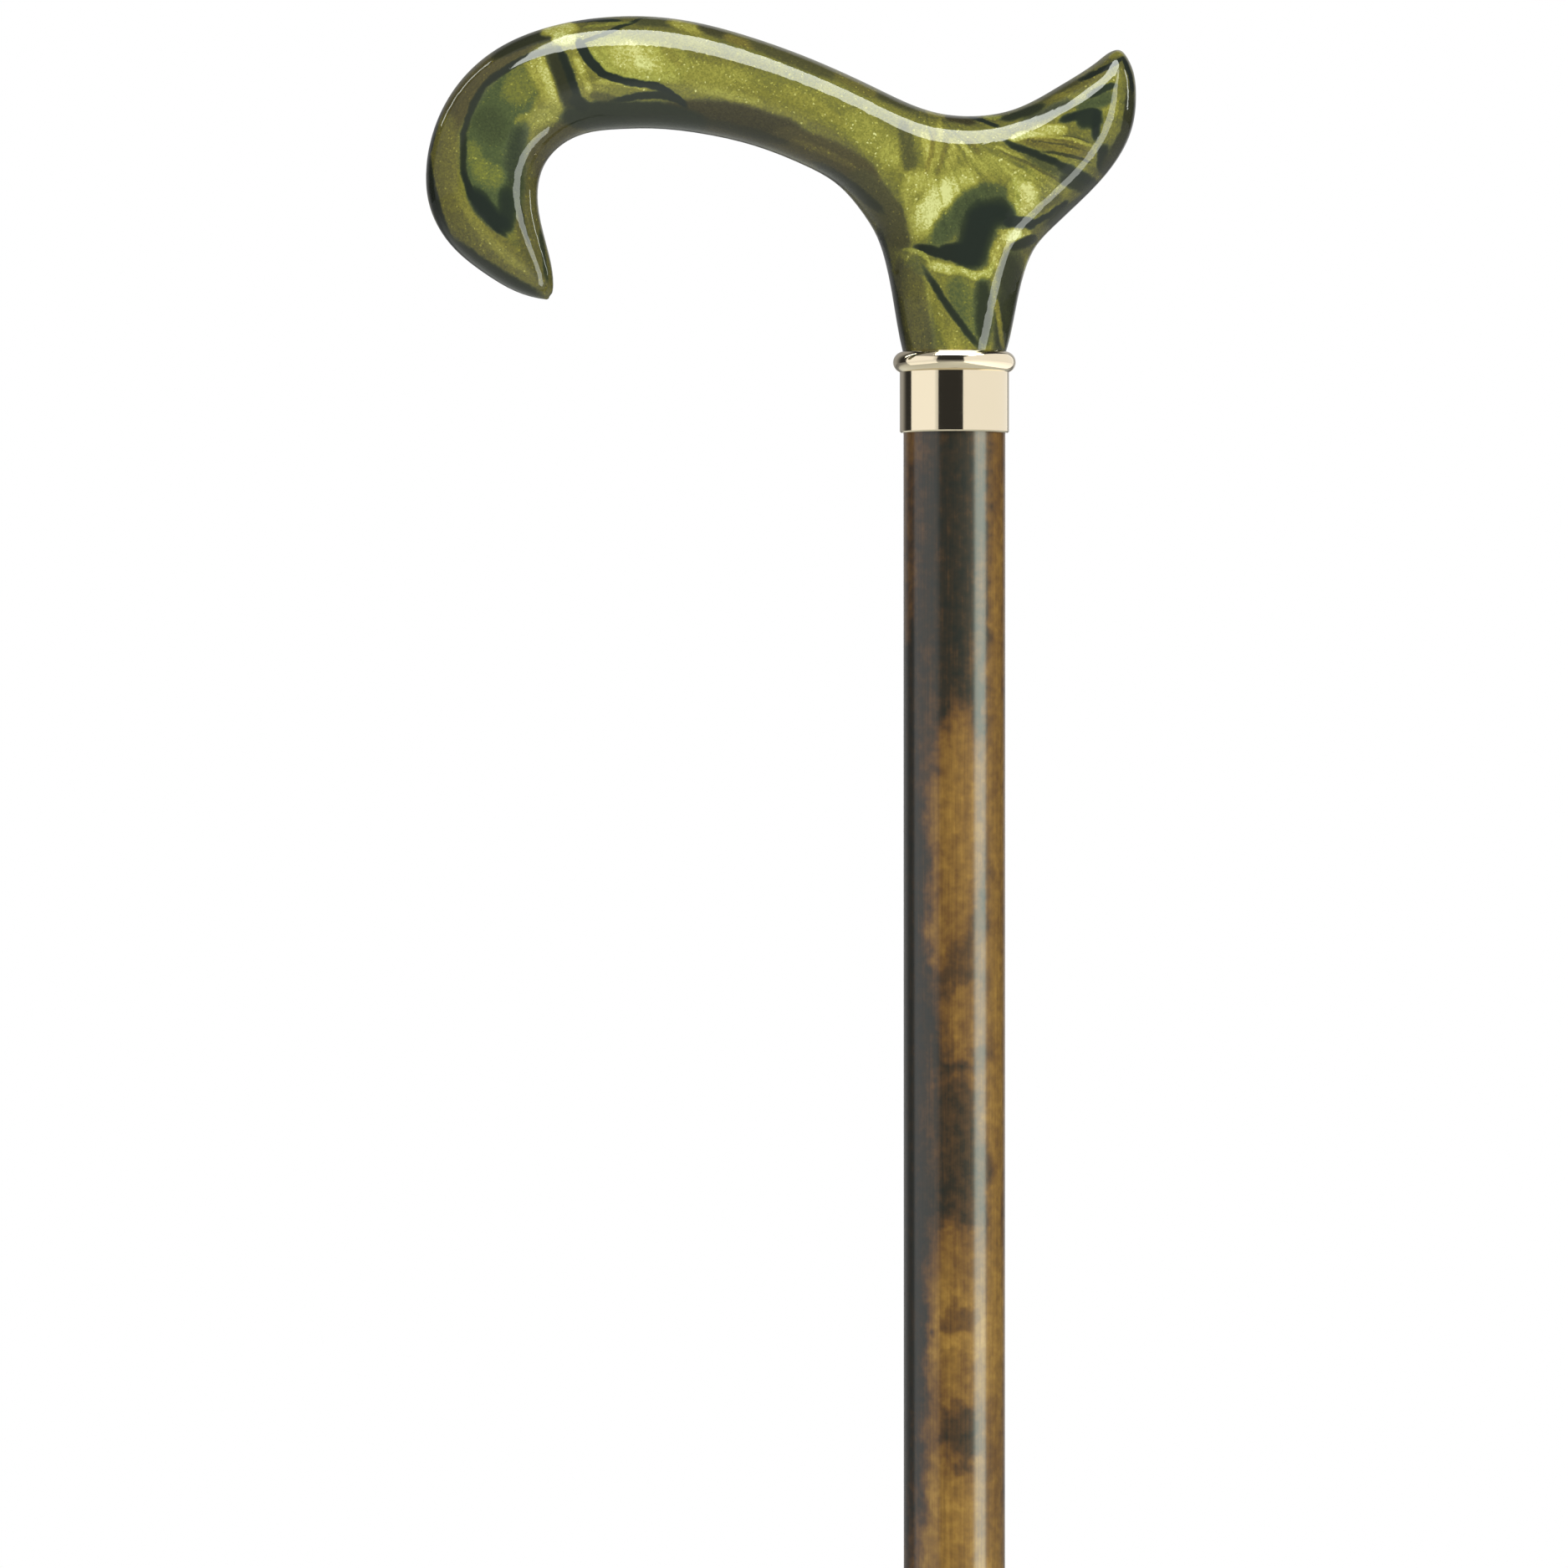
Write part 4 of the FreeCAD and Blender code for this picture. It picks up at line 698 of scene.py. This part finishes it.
# A flag cuts the rear left corner off it, along a slope in shares of its sides, with a narrow soft edge. So
# its line ends in a point on the hook.
FLAG_SLOPE = 0.19
FLAG_EDGE = 0.02
overhead.data.use_nodes = True
flag = overhead.data.node_tree
flag.nodes.clear()
on_lamp = add_node(flag, "ShaderNodeNewGeometry").outputs["Parametric"]
lamp_part = add_node(flag, "ShaderNodeSeparateXYZ", {"Vector": on_lamp})
past_corner = add_node(flag, "ShaderNodeMath", {
    0: lamp_part.outputs["Y"], 1: -FLAG_SLOPE, 2: lamp_part.outputs["X"]}, operation="MULTIPLY_ADD")
open_part = add_node(flag, "ShaderNodeMapRange", {
    "Value": past_corner.outputs["Value"], "From Min": 0.0, "From Max": FLAG_EDGE})
glow = add_node(flag, "ShaderNodeEmission", {"Strength": open_part.outputs["Result"]})
add_node(flag, "ShaderNodeOutputLight", {"Surface": glow.outputs["Emission"]})

right_box = softbox("right softbox", (0.535, -0.294, 0.80), (0.0, 0.0, 0.80), (0.20, 1.36), 5.2)
right_strip = softbox("right strip", (0.45, 0.165, 0.99), NECK, (0.035, 0.2), 6.0)
for lamp in (right_box, right_strip):
    link_light(lamp, [nodes["collar"], nodes["shaft"]], "EXCLUDE")
softbox("left strip", toward(-115, 35, 0.9), GRIP_CENTRE, (0.06, 0.45), 5.0)
shaft_box = softbox("shaft softbox", (0.525, -0.31, 0.70), (0.0, 0.0, 0.70), (0.31, 1.5), 6.4, GREENER_CLOTH)
link_light(shaft_box, [nodes["shaft"]], "INCLUDE")
left_panel = softbox("left panel", (-0.772, -0.289, 0.85), (0, 0, 0.85), (1.13, 1.2), 0.67, WHITE_PANEL)
link_light(left_panel, [nodes["collar"], nodes["shaft"]], "INCLUDE")
right_panel = softbox("right panel", (0.493, -0.065, 0.85), (0, 0, 0.85), (2.18, 1.2), 0.92, WHITE_PANEL)
link_light(right_panel, [nodes["collar"]], "INCLUDE")
softbox("front lamp", toward(20, 25, 2.2), GRIP_CENTRE, (1.6, 1.6), 5.9, for_polish=False)
softbox("back lamp", toward(200, 25, 2.2), GRIP_CENTRE, (1.6, 1.6), 5.9, for_polish=False)


# Camera. A long lens, level, as high as the middle of the picture.
PICTURE_PIXELS = 1875
PIXELS_PER_METRE = 6420
PICTURE_MIDDLE_ACROSS = -0.03173
PICTURE_MIDDLE_UP = 0.77707
LENS_DISTANCE = 1.45
SENSOR_WIDTH = 36.0
camera_data = bpy.data.cameras.new("camera")
camera = bpy.data.objects.new("camera", camera_data)
bpy.context.scene.collection.objects.link(camera)
bpy.context.scene.camera = camera
camera.location = (PICTURE_MIDDLE_ACROSS, -LENS_DISTANCE, PICTURE_MIDDLE_UP)
camera.rotation_euler = (math.radians(90), 0, 0)
camera_data.sensor_width = SENSOR_WIDTH
camera_data.lens = SENSOR_WIDTH * LENS_DISTANCE * PIXELS_PER_METRE / PICTURE_PIXELS
bpy.context.scene.view_settings.view_transform = "Standard"
